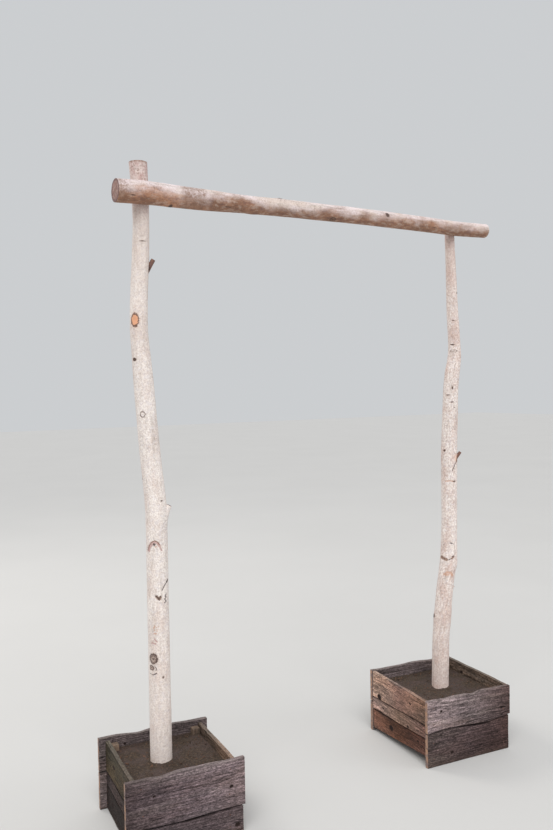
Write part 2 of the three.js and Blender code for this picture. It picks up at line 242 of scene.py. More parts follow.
# The boxes have one length and one small turn, clockwise from above.
BOX_LENGTH = 0.446
BOX_TURN = math.radians(-4.8)
FACE_BOARD_THICKNESS = 0.020
SIDE_BOARD_THICKNESS = 0.018
SEAT_GAP = 0.0003
BATTEN = 0.030
BATTEN_LENGTH = 0.233
BATTEN_MIDDLE = 0.1385
CLEAT_HEIGHT = 0.025
CLEAT_MIDDLE = 0.0345
BOARD_COLUMN = 0.017
BOARD_ROW = 0.0125
TIMBER_COLUMN = 0.012
TIMBER_ROW = 0.006
# Vertices closer than these belong to the same column or to the same edge of a board.
SAME_COLUMN = 1e-4
SAME_EDGE = 1e-5
CRACK_STEPS = 8
KNOT_DEPTH = 0.0022
EDGE_WEAR_REACH = 0.004
FLOOR_FROM = 0.0473
FLOOR_TO = 0.0653
SOIL_TOP = 0.232
SOIL_CUTS = (94, 98)
# The blocks that make room for the battens in the soil: the middle and half of their height,
# and how far they reach past the soil's corner.
NOTCH_MIDDLE = 0.15
NOTCH_HALF_HEIGHT = 0.14
NOTCH_BEYOND = 0.01
# The soil rises by this much round a post, out to this far from it.
POST_MOUND = 0.014
POST_MOUND_REACH = 0.085
# The hole for a post in the soil is this much narrower, so that the soil touches the bark.
BORE_MARGIN = 0.0008
BORE_HEIGHTS = (0.03, 0.27)
# How many crumbs are dropped on each box's soil, from how high, how small and large they are,
# and how far they stay from its edge, its corners and the middle of its post.
CRUMBS = 190
CRUMB_DROP = 0.3
CRUMB_SIZES = (0.0016, 0.0042)
CRUMB_TO_EDGE = 0.012
CRUMB_TO_CORNER = 0.04
CRUMB_TO_POST = 0.048
FACES = ("front", "back")
SIDES = ("outer", "inner")


class Box(NamedTuple):
    """A box's place, the way its outer side faces, its depth and how far its sides are set in."""

    x: float
    outwards: int
    depth: float
    side_inset: float

    @property
    def place(self):
        return Matrix.Translation((self.x, 0, 0)) @ Matrix.Rotation(BOX_TURN, 4, "Z")

    @property
    def face_inside(self):
        return self.depth / 2 - FACE_BOARD_THICKNESS

    @property
    def side_inside(self):
        return BOX_LENGTH / 2 - self.side_inset - SIDE_BOARD_THICKNESS

    @property
    def bed(self):
        """Half the length and half the depth of what lies between the boards."""
        return self.side_inside - SEAT_GAP, self.face_inside - SEAT_GAP


BOXES = {"left_box": Box(-0.673, -1, 0.412, 0.026), "right_box": Box(0.645, 1, 0.454, 0.002)}


class Look(NamedTuple):
    """How one board differs from the others.

    A knot has its place along the board, its height and half its width. A crack runs along the
    grain: the place where it opens, the place where it ends, its height and its width. Both are
    in millimetres, from the board's middle and up from the box's foot. Tones are factors of red,
    green and blue at the board's start, in its middle and at its end. They are partly the
    board's weathered colour and partly painted light and shade: lighter where light falls on
    the box, darker where shade lies on it. The fade is painted shade and light too: how the
    tones change from the middle down to the lower edge, a factor below 1 where the board is
    painted darker towards its lower edge.
    """

    knots: tuple
    cracks: tuple = ()
    tones_and_painted_light: tuple = ()
    fade: float = 1.0


# Part of the tones and fades below is painted light and shade, not the boards' own colour: boards
# painted lighter at one end and darker at the other as light falls on them, the left box's outer side
# painted dark as shade, the right box's inner side painted light, and lower edges painted darker or
# lighter by the fade.
BOARDS = {
    ("left_box", "front", "upper"): Look(((168, 180, 7), (-120, 210, 5)),
        ((-224, -76, 229, 1.5), (224, 176, 205, 1.2)),
        ((0.46, 0.42, 0.45), (1.01, 0.98, 1.09), (1.52, 1.46, 1.53)), 0.90),
    ("left_box", "front", "lower"): Look(((189, 34, 10), (-60, 60, 7)),
        ((-224, -170, 40, 1.2), (215, 168, 66, 1.4)),
        ((0.56, 0.54, 0.58), (0.66, 0.63, 0.67), (0.74, 0.69, 0.72)), 0.92),
    ("left_box", "back", "upper"): Look(((-90, 205, 11), (120, 240, 6)),
        ((-224, -150, 190, 1.3), (224, 190, 250, 1.0))),
    ("left_box", "back", "lower"): Look(((60, 70, 9), (-170, 90, 6)), ((224, 130, 60, 1.5),)),
    ("right_box", "front", "upper"): Look(((-150, 232, 6), (175, 190, 7)),
        ((-224, -182, 198, 1.0), (224, 160, 226, 1.4)),
        ((2.36, 2.34, 2.42), (1.21, 1.20, 1.22), (0.63, 0.50, 0.47)), 0.78),
    ("right_box", "front", "lower"): Look(((-95, 45, 8), (150, 84, 6)),
        ((-224, -160, 84, 1.2), (215, 178, 42, 1.3)),
        ((0.57, 0.53, 0.52), (0.49, 0.43, 0.45), (0.42, 0.30, 0.27)), 0.70),
    ("right_box", "back", "upper"): Look(((40, 215, 10), (-140, 180, 6)),
        ((-224, -120, 235, 1.4), (224, 186, 200, 1.0))),
    ("right_box", "back", "lower"): Look(((-60, 62, 9), (165, 40, 7)),
        ((-224, -180, 50, 1.2), (215, 150, 92, 1.2))),
    ("left_box", "outer", "lower"): Look(((-90, 60, 9), (110, 48, 6)),
        tones_and_painted_light=((0.26, 0.26, 0.31), (0.21, 0.21, 0.25), (0.18, 0.18, 0.22))),
    ("left_box", "outer", "middle"): Look(((40, 122, 7), (-140, 130, 5)),
        tones_and_painted_light=((0.44, 0.46, 0.60), (0.35, 0.36, 0.46), (0.30, 0.32, 0.41))),
    ("left_box", "outer", "upper"): Look(((-60, 215, 10), (120, 190, 6)), ((-186, -60, 196, 1.5),),
        ((0.42, 0.49, 0.41), (0.33, 0.37, 0.32), (0.32, 0.34, 0.32))),
    ("left_box", "inner", "lower"): Look(((120, 66, 8), (-60, 44, 6)), ((-186, -100, 62, 1.2),)),
    ("left_box", "inner", "middle"): Look(((-110, 120, 7), (70, 130, 5))),
    ("left_box", "inner", "upper"): Look(((30, 200, 10), (-130, 230, 6)), ((186, 90, 224, 1.3),)),
    ("right_box", "outer", "lower"): Look(((60, 78, 9), (-120, 96, 6)), ((207, 141, 80, 1.2),)),
    ("right_box", "outer", "middle"): Look(((-40, 156, 8), (130, 170, 5))),
    ("right_box", "outer", "upper"): Look(((90, 242, 9), (-80, 222, 7)),
        ((-207, -101, 250, 1.4),)),
    ("right_box", "inner", "lower"): Look(((-54, 69, 15), (150, 88, 5)), ((207, 117, 80, 1.3),),
        ((1.28, 1.00, 1.00), (0.92, 0.60, 0.50), (1.02, 0.71, 0.73)), 1.35),
    ("right_box", "inner", "middle"): Look(((76, 124, 7), (-120, 136, 5)),
        tones_and_painted_light=((2.85, 2.85, 3.40), (2.42, 2.22, 2.22), (1.50, 1.23, 1.38))),
    ("right_box", "inner", "upper"): Look(((-152, 178, 14), (95, 232, 6)),
        ((-207, -117, 236, 1.3), (207, 161, 214, 1.0)),
        ((4.30, 4.20, 4.40), (1.36, 1.24, 1.42), (1.25, 1.13, 1.11))),
}

# How deep a nail's head goes into its board, and how far it stands proud of it.
NAIL_DEPTH = 0.003
NAIL_PROUD = 0.0003

# Heights of the nails in each side of a box, in millimetres.
NAIL_HEIGHTS = {
    "left_box_front": (34, 78, 150, 244), "left_box_back": (30, 92, 178, 246),
    "left_box_outer": (30, 74, 112, 138, 182, 240), "left_box_inner": (28, 76, 114, 136, 176, 240),
    "right_box_front": (34, 108, 180, 250), "right_box_back": (30, 96, 182, 250),
    "right_box_outer": (70, 104, 146, 178, 220, 262), "right_box_inner": (66, 94, 130, 152, 198, 256),
}


# Settings that a user would change.


def colour_property(name, description, default):
    return FloatVectorProperty(name=name, description=description, default=default,
                               subtype="COLOR", size=3, min=0.0, max=1.0)


def length_property(name, description, default):
    return FloatProperty(name=name, description=description, default=default,
                         subtype="DISTANCE", unit="LENGTH", min=0.0)


class ArchSizes(PropertyGroup):
    """Sizes of the relief and the small parts."""

    bark_swell: length_property("Bark swell", "Height of the bark's long, soft waves", 0.0022)
    bark_wrinkle: length_property("Bark wrinkle", "Height of the bark's short wrinkles", 0.0009)
    bark_thickness: length_property("Bark thickness", "Width of the bark rim on a sawn end", 0.0030)
    board_warp: length_property("Board warp", "How deep a weathered board's face is worn", 0.0016)
    board_ridge: length_property("Board ridge", "Height of the ridges along the grain", 0.0010)
    board_nibble: length_property("Edge wear", "How deep a board's edges are nibbled away", 0.0015)
    edge_round: length_property("Edge rounding", "Rounding of sawn timber edges", 0.0018)
    soil_mound: length_property("Soil mounds", "Height of the soft mounds of the soil", 0.0130)
    soil_clod: length_property("Soil clods", "Height of the clods on the soil", 0.0060)
    nail_head: length_property("Nail head", "Radius of a nail's head", 0.0026)


class ArchColours(PropertyGroup):
    """Colours of the bark, wood, soil and steel."""

    cream_bark: colour_property("Cream bark", "Pale bark of the posts", (0.83, 0.77, 0.72))
    pink_bark: colour_property("Pink bark", "Pinkish patches in the bark", (0.66, 0.55, 0.49))
    tan_bark: colour_property("Tan bark", "Pinkish tan patches of the right post", (0.58, 0.43, 0.37))
    grey_bark: colour_property("Grey bark", "Greyed bark and streaks", (0.42, 0.38, 0.34))
    dark_mark: colour_property("Dark marks", "Knots, scars and dashes", (0.055, 0.030, 0.026))
    brown_mark: colour_property("Brown marks", "Insides of knots and brows", (0.22, 0.115, 0.070))
    red_mark: colour_property("Red marks", "Reddish stains round knots", (0.40, 0.18, 0.165))
    tan_mark: colour_property("Tan marks", "Rubbed bark that shows tan", (0.52, 0.25, 0.14))
    stub: colour_property("Stubs", "Dark wood of old branch stubs", (0.150, 0.076, 0.070))
    wound: colour_property("Wound", "Fresh wood where the bark is knocked off", (0.74, 0.37, 0.22))
    beam_bark: colour_property("Beam bark", "Pale outer bark of the beam", (0.76, 0.655, 0.655))
    inner_bark: colour_property("Inner bark", "Brown inner bark of the beam", (0.39, 0.185, 0.105))
    sawn_end: colour_property("Sawn ends", "Weathered sawn ends of the poles", (0.30, 0.160, 0.138))
    face_board: colour_property("Face boards", "Weathered grey face boards", (0.195, 0.152, 0.152))
    face_dark: colour_property("Face grain", "Dark grain of the face boards", (0.072, 0.055, 0.052))
    side_board: colour_property("Side boards", "Browner side boards", (0.185, 0.128, 0.096))
    side_dark: colour_property("Side grain", "Dark grain of the side boards", (0.062, 0.043, 0.031))
    # On the seams this colour is painted shade in the gaps between boards, partly dirt.
    board_gap: colour_property("Board gaps", "Seams, cracks and knots", (0.013, 0.008, 0.007))
    # On the top edges of the boxes this colour is partly a painted highlight.
    worn_edge: colour_property("Worn edges", "Pale worn edges of the boards", (0.36, 0.31, 0.27))
    board_end: colour_property("Board ends", "Tan end grain of the boards", (0.46, 0.27, 0.175))
    timber: colour_property("Inner timber", "Battens, cleats and floor panels", (0.15, 0.110, 0.078))
    soil: colour_property("Soil", "Damp potting soil", (0.034, 0.021, 0.013))
    zinc: colour_property("Zinc", "Zinc plated screws", (0.56, 0.57, 0.58))
    rust: colour_property("Rust", "Rust on nails and screws", (0.13, 0.052, 0.026))


class ArchStudio(PropertyGroup):
    """Camera, lights and floor."""

    camera_place: FloatVectorProperty(name="Camera", description="Where the camera stands",
                                      default=(-1.7987, -2.7898, 1.6209), subtype="TRANSLATION")
    camera_turn: FloatVectorProperty(name="Turn", description="Camera yaw, pitch and roll",
                                     default=(0.5250, -0.0356, -0.0169), subtype="EULER")
    lens: FloatProperty(name="Lens", description="Focal length in millimetres", default=35.0)
    sun_strength: FloatProperty(name="Key light", description="Strength of the very soft sun",
                                default=2.2, min=0.0)
    fill_power: FloatProperty(name="Fill light", description="Power of the light from the right",
                              default=70.0, subtype="POWER", unit="POWER")
    rim_power: FloatProperty(name="Rim light", description="Power of the light from behind",
                             default=110.0, subtype="POWER", unit="POWER")
    sky_strength: FloatProperty(name="Room light", description="Light from all round",
                                default=0.79, min=0.0)
    floor_colour: colour_property("Floor", "Plain pale floor", (0.56, 0.55, 0.535))
    room_colour: colour_property("Room", "Plain pale room", (0.76, 0.78, 0.80))


# Modelling.


def make_active(obj):
    if bpy.context.object and bpy.context.object.mode != "OBJECT":
        bpy.ops.object.mode_set(mode="OBJECT")
    bpy.ops.object.select_all(action="DESELECT")
    obj.select_set(True)
    bpy.context.view_layer.objects.active = obj


@contextmanager
def editing(obj, element="FACE", everything=True):
    """Edit mode for faces, edges or vertices, with everything selected or as it was."""
    make_active(obj)
    kinds = ("VERT", "EDGE", "FACE")
    bpy.context.scene.tool_settings.mesh_select_mode = [kind == element for kind in kinds]
    bpy.ops.object.mode_set(mode="EDIT")
    if everything:
        bpy.ops.mesh.select_all(action="SELECT")
    yield
    bpy.ops.object.mode_set(mode="OBJECT")


@contextmanager
def picked(obj, element, test):
    """Edit mode with only one face, edge or vertex selected, or those that pass a test."""
    mesh = obj.data
    kinds = {"VERT": mesh.vertices, "EDGE": mesh.edges, "FACE": mesh.polygons}
    for kind, parts in kinds.items():
        chosen = np.zeros(len(parts), dtype=bool)
        if kind == element:
            chosen[test if isinstance(test, int) else [bool(test(part)) for part in parts]] = True
        parts.foreach_set("select", chosen)
    with editing(obj, element, everything=False):
        yield


def pick_vertices(obj, test):
    """In edit mode, selects only the vertices whose place passes a test."""
    cage = bmesh.from_edit_mesh(obj.data)
    for vertex in cage.verts:
        vertex.select_set(test(vertex.co))
    cage.select_flush_mode()
    bmesh.update_edit_mesh(obj.data)


def grow(move, size, middle):
    """Extrudes what is selected by a move and resizes it round a point."""
    bpy.ops.mesh.extrude_region_move(TRANSFORM_OT_translate={"value": move})
    bpy.ops.transform.resize(value=size, center_override=middle)


def face_outwards(obj):
    with editing(obj):
        bpy.ops.mesh.normals_make_consistent(inside=False)


def add_modifier(obj, kind, **settings):
    modifier = obj.modifiers.new(kind.title(), kind)
    for name, value in settings.items():
        setattr(modifier, name, value)
    make_active(obj)
    bpy.ops.object.modifier_apply(modifier=modifier.name)


def round_edges(obj, width, degrees=55):
    add_modifier(obj, "BEVEL", width=width, segments=2, limit_method="ANGLE",
                 angle_limit=math.radians(degrees))


def settle(obj):
    """Moves an object's place, turn and size into its mesh."""
    make_active(obj)
    bpy.ops.object.transform_apply(location=True, rotation=True, scale=True)


def set_down(obj, place):
    obj.matrix_world = place
    settle(obj)


def named(name):
    """Names the new object and moves its place into its mesh."""
    obj = bpy.context.object
    obj.name = obj.data.name = name
    settle(obj)
    return obj


def joined(name, parts):
    bpy.ops.object.select_all(action="DESELECT")
    for part in parts:
        part.select_set(True)
    bpy.context.view_layer.objects.active = parts[0]
    bpy.ops.object.join()
    return named(name)


def add_block(name, low, high):
    """A block between two corners."""
    low, high = Vector(low), Vector(high)
    bpy.ops.mesh.primitive_cube_add(size=1, location=(low + high) / 2, scale=high - low)
    return named(name)


def add_rod(name, start, end, radius, sides):
    """A straight rod along Y, such as a drill hole or a shank."""
    middle = (Vector(start) + Vector(end)) / 2
    bpy.ops.mesh.primitive_cylinder_add(vertices=sides, radius=radius, location=middle,
                                        depth=abs(end[1] - start[1]),
                                        rotation=(math.pi / 2, 0, 0))
    return named(name)


def carve(obj, *tools, operation="DIFFERENCE"):
    for tool in tools:
        add_modifier(obj, "BOOLEAN", operation=operation, solver="EXACT", object=tool)
        bpy.data.meshes.remove(tool.data)


def relief(obj, size, strength, middle=0.5, stretch=(1, 1, 1), depth=2, group="", seed=0.0):
    """Pushes the surface in and out by a cloud noise, which can be stretched along an axis."""
    noise = bpy.data.textures.new("relief", "CLOUDS")
    noise.noise_scale = size
    noise.noise_depth = depth
    bpy.ops.object.empty_add(location=(seed, 0.37 * seed, 0.71 * seed))
    space = bpy.context.object
    space.scale = stretch
    bpy.context.view_layer.update()
    add_modifier(obj, "DISPLACE", texture=noise, texture_coords="OBJECT",
                 texture_coords_object=space, strength=strength, mid_level=middle,
                 vertex_group=group)
    bpy.data.objects.remove(space)
    bpy.data.textures.remove(noise)


def split(obj, axis, cuts):
    """Cuts every edge that runs along one axis into equal lengths."""
    vertices = obj.data.vertices

    def along(edge):
        way = vertices[edge.vertices[1]].co - vertices[edge.vertices[0]].co
        return abs(way[axis]) > 0.9 * way.length

    with picked(obj, "EDGE", along):
        bpy.ops.mesh.subdivide(number_cuts=cuts)


def press(obj, place, move, reach, falloff="SMOOTH"):
    """Moves the surface at one place, and less and less of it out to the reach."""
    face = obj.closest_point_on_mesh(place)[3]
    with picked(obj, "VERT", obj.data.polygons[face].vertices[0]):
        bpy.ops.transform.translate(value=move, use_proportional_edit=True,
                                    proportional_edit_falloff=falloff, proportional_size=reach)


def vertex_places(obj):
    """The X, the Y and the Z of all vertices."""
    return np.array([vertex.co for vertex in obj.data.vertices]).T


def store(obj, name, values):
    """Keeps a vector of every vertex for the materials to read."""
    if name in obj.data.attributes:
        obj.data.attributes.remove(obj.data.attributes[name])
    attribute = obj.data.attributes.new(name, "FLOAT_VECTOR", "POINT")
    attribute.data.foreach_set("vector", np.array(values, dtype=np.float32).ravel())


def dress(obj, *materials):
    if obj.data.materials:
        obj.data.materials.clear()
    for material in materials:
        obj.data.materials.append(material)


def paint_faces(obj, index, test=lambda face: True):
    for face in obj.data.polygons:
        if test(face):
            face.material_index = index


def smooth(obj, degrees=38):
    make_active(obj)
    bpy.ops.object.shade_smooth_by_angle(angle=math.radians(degrees))


def hand_over(obj, slot, *nodes):
    """Makes a finished piece ride with the arch in place of its CAD nodes."""
    make_active(obj)
    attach(obj, "root")
    if nodes:
        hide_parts(*nodes)


# Poles.


def pole_line(stations):
    """Where a pole's middle is across it, and its radius, at any place along it."""
    along = [row[0] * MM for row in stations]
    rows = [Vector(row[1:]) * MM for row in stations]
    last = len(rows) - 1

    def slope(i):
        before, after = max(i - 1, 0), min(i + 1, last)
        return (rows[after] - rows[before]) / (along[after] - along[before])

    def at(place):
        i = min(max(bisect_right(along, place) - 1, 0), last - 1)
        step = along[i + 1] - along[i]
        t = (place - along[i]) / step
        rise = t * t * (3 - 2 * t)
        leave = t * (1 - t) ** 2 * step
        arrive = t * t * (t - 1) * step
        return rows[i] + (rows[i + 1] - rows[i]) * rise + slope(i) * leave + slope(i + 1) * arrive

    return at


def on_bark(line, height, degrees):
    """A point on a pole's bark and the direction straight out of it."""
    across, aside, radius = line(height)
    angle = math.radians(degrees)
    out = Vector((math.cos(angle), math.sin(angle), 0))
    return Vector((across, aside, height)) + out * radius, out


def grow_rod(name, line, heights, sides, widen=1.0, gap=0.0):
    """A rod grown ring by ring up Z from a disc, wider or narrower than the pole of that line."""
    def ring(height):
        across, aside, radius = line(height)
        return across, aside, height, radius * widen - gap

    x, y, z, radius = ring(heights[0])
    bpy.ops.mesh.primitive_circle_add(vertices=sides, radius=radius, fill_type="NGON",
                                      location=(x, y, z))
    rod = named(name)
    with editing(rod):
        for height in heights[1:]:
            *middle, to_radius = ring(height)
            move = (middle[0] - x, middle[1] - y, middle[2] - z)
            grow(move, (to_radius / radius, to_radius / radius, 1), middle)
            x, y, z, radius = *middle, to_radius
    face_outwards(rod)
    return rod


def grow_pole(name, line, start, end, bark_thickness):
    """A pole up Z, both ends sawn flat with a bark rim."""
    steps = round((end - start) / POLE_STEP)
    step = (end - start) / steps
    heights = [start + i * step for i in range(steps + 1)]
    pole = grow_rod(name, line, heights, POLE_SIDES, widen=1 / RING_ROUNDING)
    vertices = pole.data.vertices

    def rim(edge):
        heights = [vertices[i].co.z for i in edge.vertices]
        return max(heights) < start + step / 4 or min(heights) > end - step / 4

    with picked(pole, "EDGE", rim):
        bpy.ops.transform.edge_crease(value=RIM_CREASE)
    paint_faces(pole, 1, lambda face: abs(face.normal.z) > 0.9)
    with picked(pole, "FACE", lambda face: abs(face.normal.z) > 0.9):
        bpy.ops.mesh.inset(thickness=bark_thickness, depth=-END_SUNK, use_individual=True)
        bpy.ops.mesh.inset(thickness=END_INSET, use_individual=True)
    return pole


def join_stub(pole, line, height, degrees, rise, root, cut, reach, weathered):
    """A stub of a cut side branch: a tapering rod that rises out of the bark and is cut off."""
    place, out = on_bark(line, height * MM, degrees)
    slope = math.radians(rise)
    way = out * math.cos(slope) + Vector((0, 0, math.sin(slope)))
    depth = root * math.tan(slope) + STUB_ROOT
    length = (depth + reach) * MM
    bpy.ops.mesh.primitive_cone_add(vertices=20, radius1=root * MM, radius2=cut * MM,
                                    depth=length, end_fill_type="NGON")
    stub = named("stub")
    split(stub, 2, round(length / STUB_ROW))
    dress(stub, *pole.data.materials)
    if weathered:
        paint_faces(stub, 2)
    else:
        paint_faces(stub, 1, lambda face: face.normal.z > 0.9)
    with picked(stub, "FACE", lambda face: face.normal.z > 0.9):
        for _ in range(2):
            bpy.ops.mesh.inset(thickness=cut * MM * 0.3)
    stub.rotation_euler = way.to_track_quat("Z", "Y").to_euler()
    stub.location = place + way * (reach - depth) * MM / 2
    settle(stub)
    carve(pole, stub, operation="UNION")
    tip = place + way * reach * MM

    def collar(vertex):
        on_tip = (vertex.co - tip).length < 1.3 * cut * MM
        return not on_tip and (vertex.co - place).length < (depth + cut) * MM

    with picked(pole, "VERT", collar):
        bpy.ops.mesh.vertices_smooth(factor=0.5, repeat=6)


def finish_bark(pole, line, bumps, stubs, sizes, seed):
    """Rounds the pole off, swells its knots and gives the bark its waves and wrinkles."""
    add_modifier(pole, "SUBSURF", levels=2, render_levels=2)
    for height, degrees, outwards, width in bumps:
        place, out = on_bark(line, height * MM, degrees)
        press(pole, place, out * outwards * MM, width * MM)
    for stub in stubs:
        join_stub(pole, line, *stub)
    relief(pole, 0.055, sizes.bark_swell, stretch=(1, 1, 2.6), seed=seed)
    relief(pole, 0.011, sizes.bark_wrinkle, stretch=(1.6, 1.6, 0.8), depth=3, seed=seed + 5)


def store_pole_place(pole, line, lying=False):
    """Keeps how far each vertex is from the pole's middle line, and its place along it."""
    values = []
    for vertex in pole.data.vertices:
        spot = vertex.co.yzx if lying else vertex.co
        across, aside, _ = line(spot.z)
        values.append((spot.x - across, spot.y - aside, spot.z))
    store(pole, "pole_place", values)


class ScrewSeat(NamedTuple):
    """Where a coach screw along Y goes: its middle, its point and the flat behind the post."""

    x: float
    z: float
    point: float
    flat: float

    @classmethod
    def of_post(cls, stations):
        across, aside, radius = pole_line(stations)(BEAM_HEIGHT)
        beam_aside, beam_height, beam_radius = pole_line(CROSSBEAM)(across)
        return cls(across, beam_height, beam_aside + beam_radius - POINT_DEPTH,
                   aside + radius - FLAT_DEPTH)

    def rod(self, name, start, end, radius, sides):
        return add_rod(name, (self.x, start, self.z), (self.x, end, self.z), radius, sides)

    def hole(self):
        return self.rod("hole", self.point - SEAT_GAP, self.flat + DRILL_CLEARANCE,
                        HOLE_RADIUS, 24)


# Shading.


class Field:
    """A node's output: plain arithmetic on it adds Math nodes to the same tree."""

    def __init__(self, shade, socket):
        self.shade = shade
        self.socket = socket

    def math(self, operation, other=0.0):
        return self.shade.node("Math", {0: self, 1: other}, operation=operation)

    def __add__(self, other):
        return self.math("ADD", other)

    def __sub__(self, other):
        return self.math("SUBTRACT", other)

    def __rsub__(self, other):
        return self.shade.node("Math", {0: other, 1: self}, operation="SUBTRACT")

    def __mul__(self, other):
        return self.math("MULTIPLY", other)

    def __truediv__(self, other):
        return self.math("DIVIDE", other)

    def __abs__(self):
        return self.math("ABSOLUTE")

    def between(self, low, high, to_low=0.0, to_high=1.0):
        """A soft step from one value to another while this one goes from low to high."""
        return self.shade.node("MapRange", {0: self, 1: low, 2: high, 3: to_low, 4: to_high},
                               interpolation_type="SMOOTHSTEP")

    def vector(self, operation, other=(0, 0, 0), out=0):
        return self.shade.node("VectorMath", {0: self, 1: other}, out, operation=operation)

    def length(self):
        return self.vector("LENGTH", out=1)

    def stretched(self, x, y, z):
        return self.vector("MULTIPLY", (x, y, z))

    def noise(self, scale, detail=3.0, roughness=0.55, distortion=0.0):
        return self.shade.node("TexNoise", {"Vector": self, "Scale": scale, "Detail": detail,
                                            "Roughness": roughness, "Distortion": distortion})

    def parts(self):
        """The X, Y and Z of a vector."""
        apart = self.shade.node("SeparateXYZ", {0: self}).socket.node
        return [Field(self.shade, socket) for socket in apart.outputs]

    def rings(self, wood_from, wood_to, edge):
        """Late wood: rises through each turn from 0 to 1, and drops at its sharp edge."""
        turns = self.math("FRACT")
        return turns.between(wood_from, wood_to) * turns.between(1.0, edge)


class Shade:
    """Adds nodes to one node tree."""

    def __init__(self, tree):
        self.tree = tree

    def feed(self, node, inputs):
        for key, value in inputs.items():
            if isinstance(value, Field):
                self.tree.links.new(value.socket, node.inputs[key])
            else:
                node.inputs[key].default_value = value

    def node(self, kind, inputs=None, out=0, **settings):
        made = self.tree.nodes.new("ShaderNode" + kind)
        for name, value in settings.items():
            setattr(made, name, value)
        self.feed(made, inputs or {})
        return Field(self, made.outputs[out])

    def place(self):
        """Where a point lies on its object, in metres."""
        return self.node("TexCoord", out=3)

    def attribute(self, name):
        return self.node("Attribute", out=1, attribute_name=name)

    def combined(self, x, y, z):
        return self.node("CombineXYZ", {0: x, 1: y, 2: z})

    def mix(self, share, first, second, blend="MIX"):
        inputs = {0: share}
        for key, colour in ((6, first), (7, second)):
            grey = isinstance(colour, Field) or len(colour) == 4
            inputs[key] = colour if grey else (*colour, 1.0)
        return self.node("Mix", inputs, 2, data_type="RGBA", blend_type=blend)

    def layers(self, colour, *layers):
        """Lays colours over one another: each layer is a share, a colour and maybe a blend."""
        for share, over, *blend in layers:
            colour = self.mix(share, colour, over, *blend)
        return colour

    def ramp(self, value, stops):
        """A ramp of (place, grey, alpha): gives its grey and its alpha."""
        grey = self.node("ValToRGB", {0: value})
        elements = grey.socket.node.color_ramp.elements
        for i, (place, level, alpha) in enumerate(stops):
            element = elements[i] if i < 2 else elements.new(place)
            element.position = place
            element.color = (level, level, level, alpha)
        return grey, Field(self, grey.socket.node.outputs[1])


class MaterialShade(Shade):
    """The nodes of one new material."""

    def __init__(self, name, base, roughness):
        self.material = bpy.data.materials.new(name)
        self.material.use_nodes = True
        self.material.diffuse_color = (*base, 1.0)
        super().__init__(self.material.node_tree)
        self.shader = self.tree.nodes["Principled BSDF"]
        self.feed(self.shader, {"Base Color": (*base, 1.0), "Roughness": roughness})

    def finish(self, colour, roughness, height, depth, **more):
        """Feeds colour, roughness and bump into the material's shader."""
        bump = self.node("Bump", {"Height": height, "Distance": depth, "Strength": 1.0})
        self.feed(self.shader, {"Base Color": colour, "Roughness": roughness, "Normal": bump,
                                **more})
        return self.material


def shader_group(name, inputs):
    """Turns a function that adds nodes into one that adds a shared group of them.

    The group is built when it is first needed: the function is called with the group's inputs
    and gives its outputs by name.
    """
    def tree_of(add_nodes):
        tree = bpy.data.node_groups.get(name)
        if tree:
            return tree
        tree = bpy.data.node_groups.new(name, "ShaderNodeTree")
        for socket, value in inputs.items():
            kind = "NodeSocketVector" if isinstance(value, tuple) else "NodeSocketFloat"
            made = tree.interface.new_socket(socket, in_out="INPUT", socket_type=kind)
            made.default_value = value
        shade = Shade(tree)
        given = tree.nodes.new("NodeGroupInput").outputs
        results = add_nodes(*(Field(shade, given[socket]) for socket in inputs))
        for socket in results:
            tree.interface.new_socket(socket, in_out="OUTPUT", socket_type="NodeSocketFloat")
        shade.feed(tree.nodes.new("NodeGroupOutput"), results)
        return tree

    def wrap(add_nodes):
        def add_group(shade, *values):
            made = shade.tree.nodes.new("ShaderNodeGroup")
            made.node_tree = tree_of(add_nodes)
            shade.feed(made, dict(enumerate(values)))
            return {socket.name: Field(shade, socket) for socket in made.outputs}

        return add_group

    return wrap


NOWHERE = (0, 0, 0)
# Beyond every mark, stroke and knot, in half widths of one.
BEYOND = 9.0
FAR = (BEYOND, 0.0, BEYOND)
BLOT_LENGTH = 0.0001


@shader_group("Bark Mark", {"Place": NOWHERE, "Centre": NOWHERE,
                            "Half Size": (0.01, 0.01, 0.01), "Raggedness": 0.3})
def bark_mark(place, centre, half_size, raggedness):
    """How far a place is from a mark in the bark: 0 in its middle and 1 on its ragged edge."""
    away = place.vector("SUBTRACT", centre).vector("DIVIDE", half_size).length()
    return {"Distance": away + (place.noise(160.0) - 0.5) * raggedness * 2.4}


@shader_group("Bark Brow", {"Place": NOWHERE, "Centre": NOWHERE,
                            "Half Size": (0.02, 0.02, 0.015)})
def bark_brow(place, centre, half_size):
    """The dark hood that a shed branch leaves over its knot."""
    scaled = place.vector("SUBTRACT", centre).vector("DIVIDE", half_size)
    edge = scaled.length() + (place.noise(210.0) * 0.5 - 0.25)
    ring = edge.between(0.55, 0.92) * edge.between(1.22, 1.0)
    return {"Mask": ring * scaled.parts()[2].between(-0.35, 0.25)}


@shader_group("Bark Stroke", {"Place": NOWHERE, "From": NOWHERE, "To": (0, 0, 0.01),
                              "Half Width": 0.001})
def bark_stroke(place, start, end, half_width):
    """How far a place is from a straight stroke between two points, in its half widths."""
    way = end.vector("SUBTRACT", start)
    away = place.vector("SUBTRACT", start)
    along = away.vector("DOT_PRODUCT", way, out=1) / way.vector("DOT_PRODUCT", way, out=1)
    share = place.shade.node("Clamp", {0: along})
    nearest = place.shade.node("VectorMath", {0: way, 3: share}, operation="SCALE")
    return {"Distance": away.vector("SUBTRACT", nearest).length() / half_width}


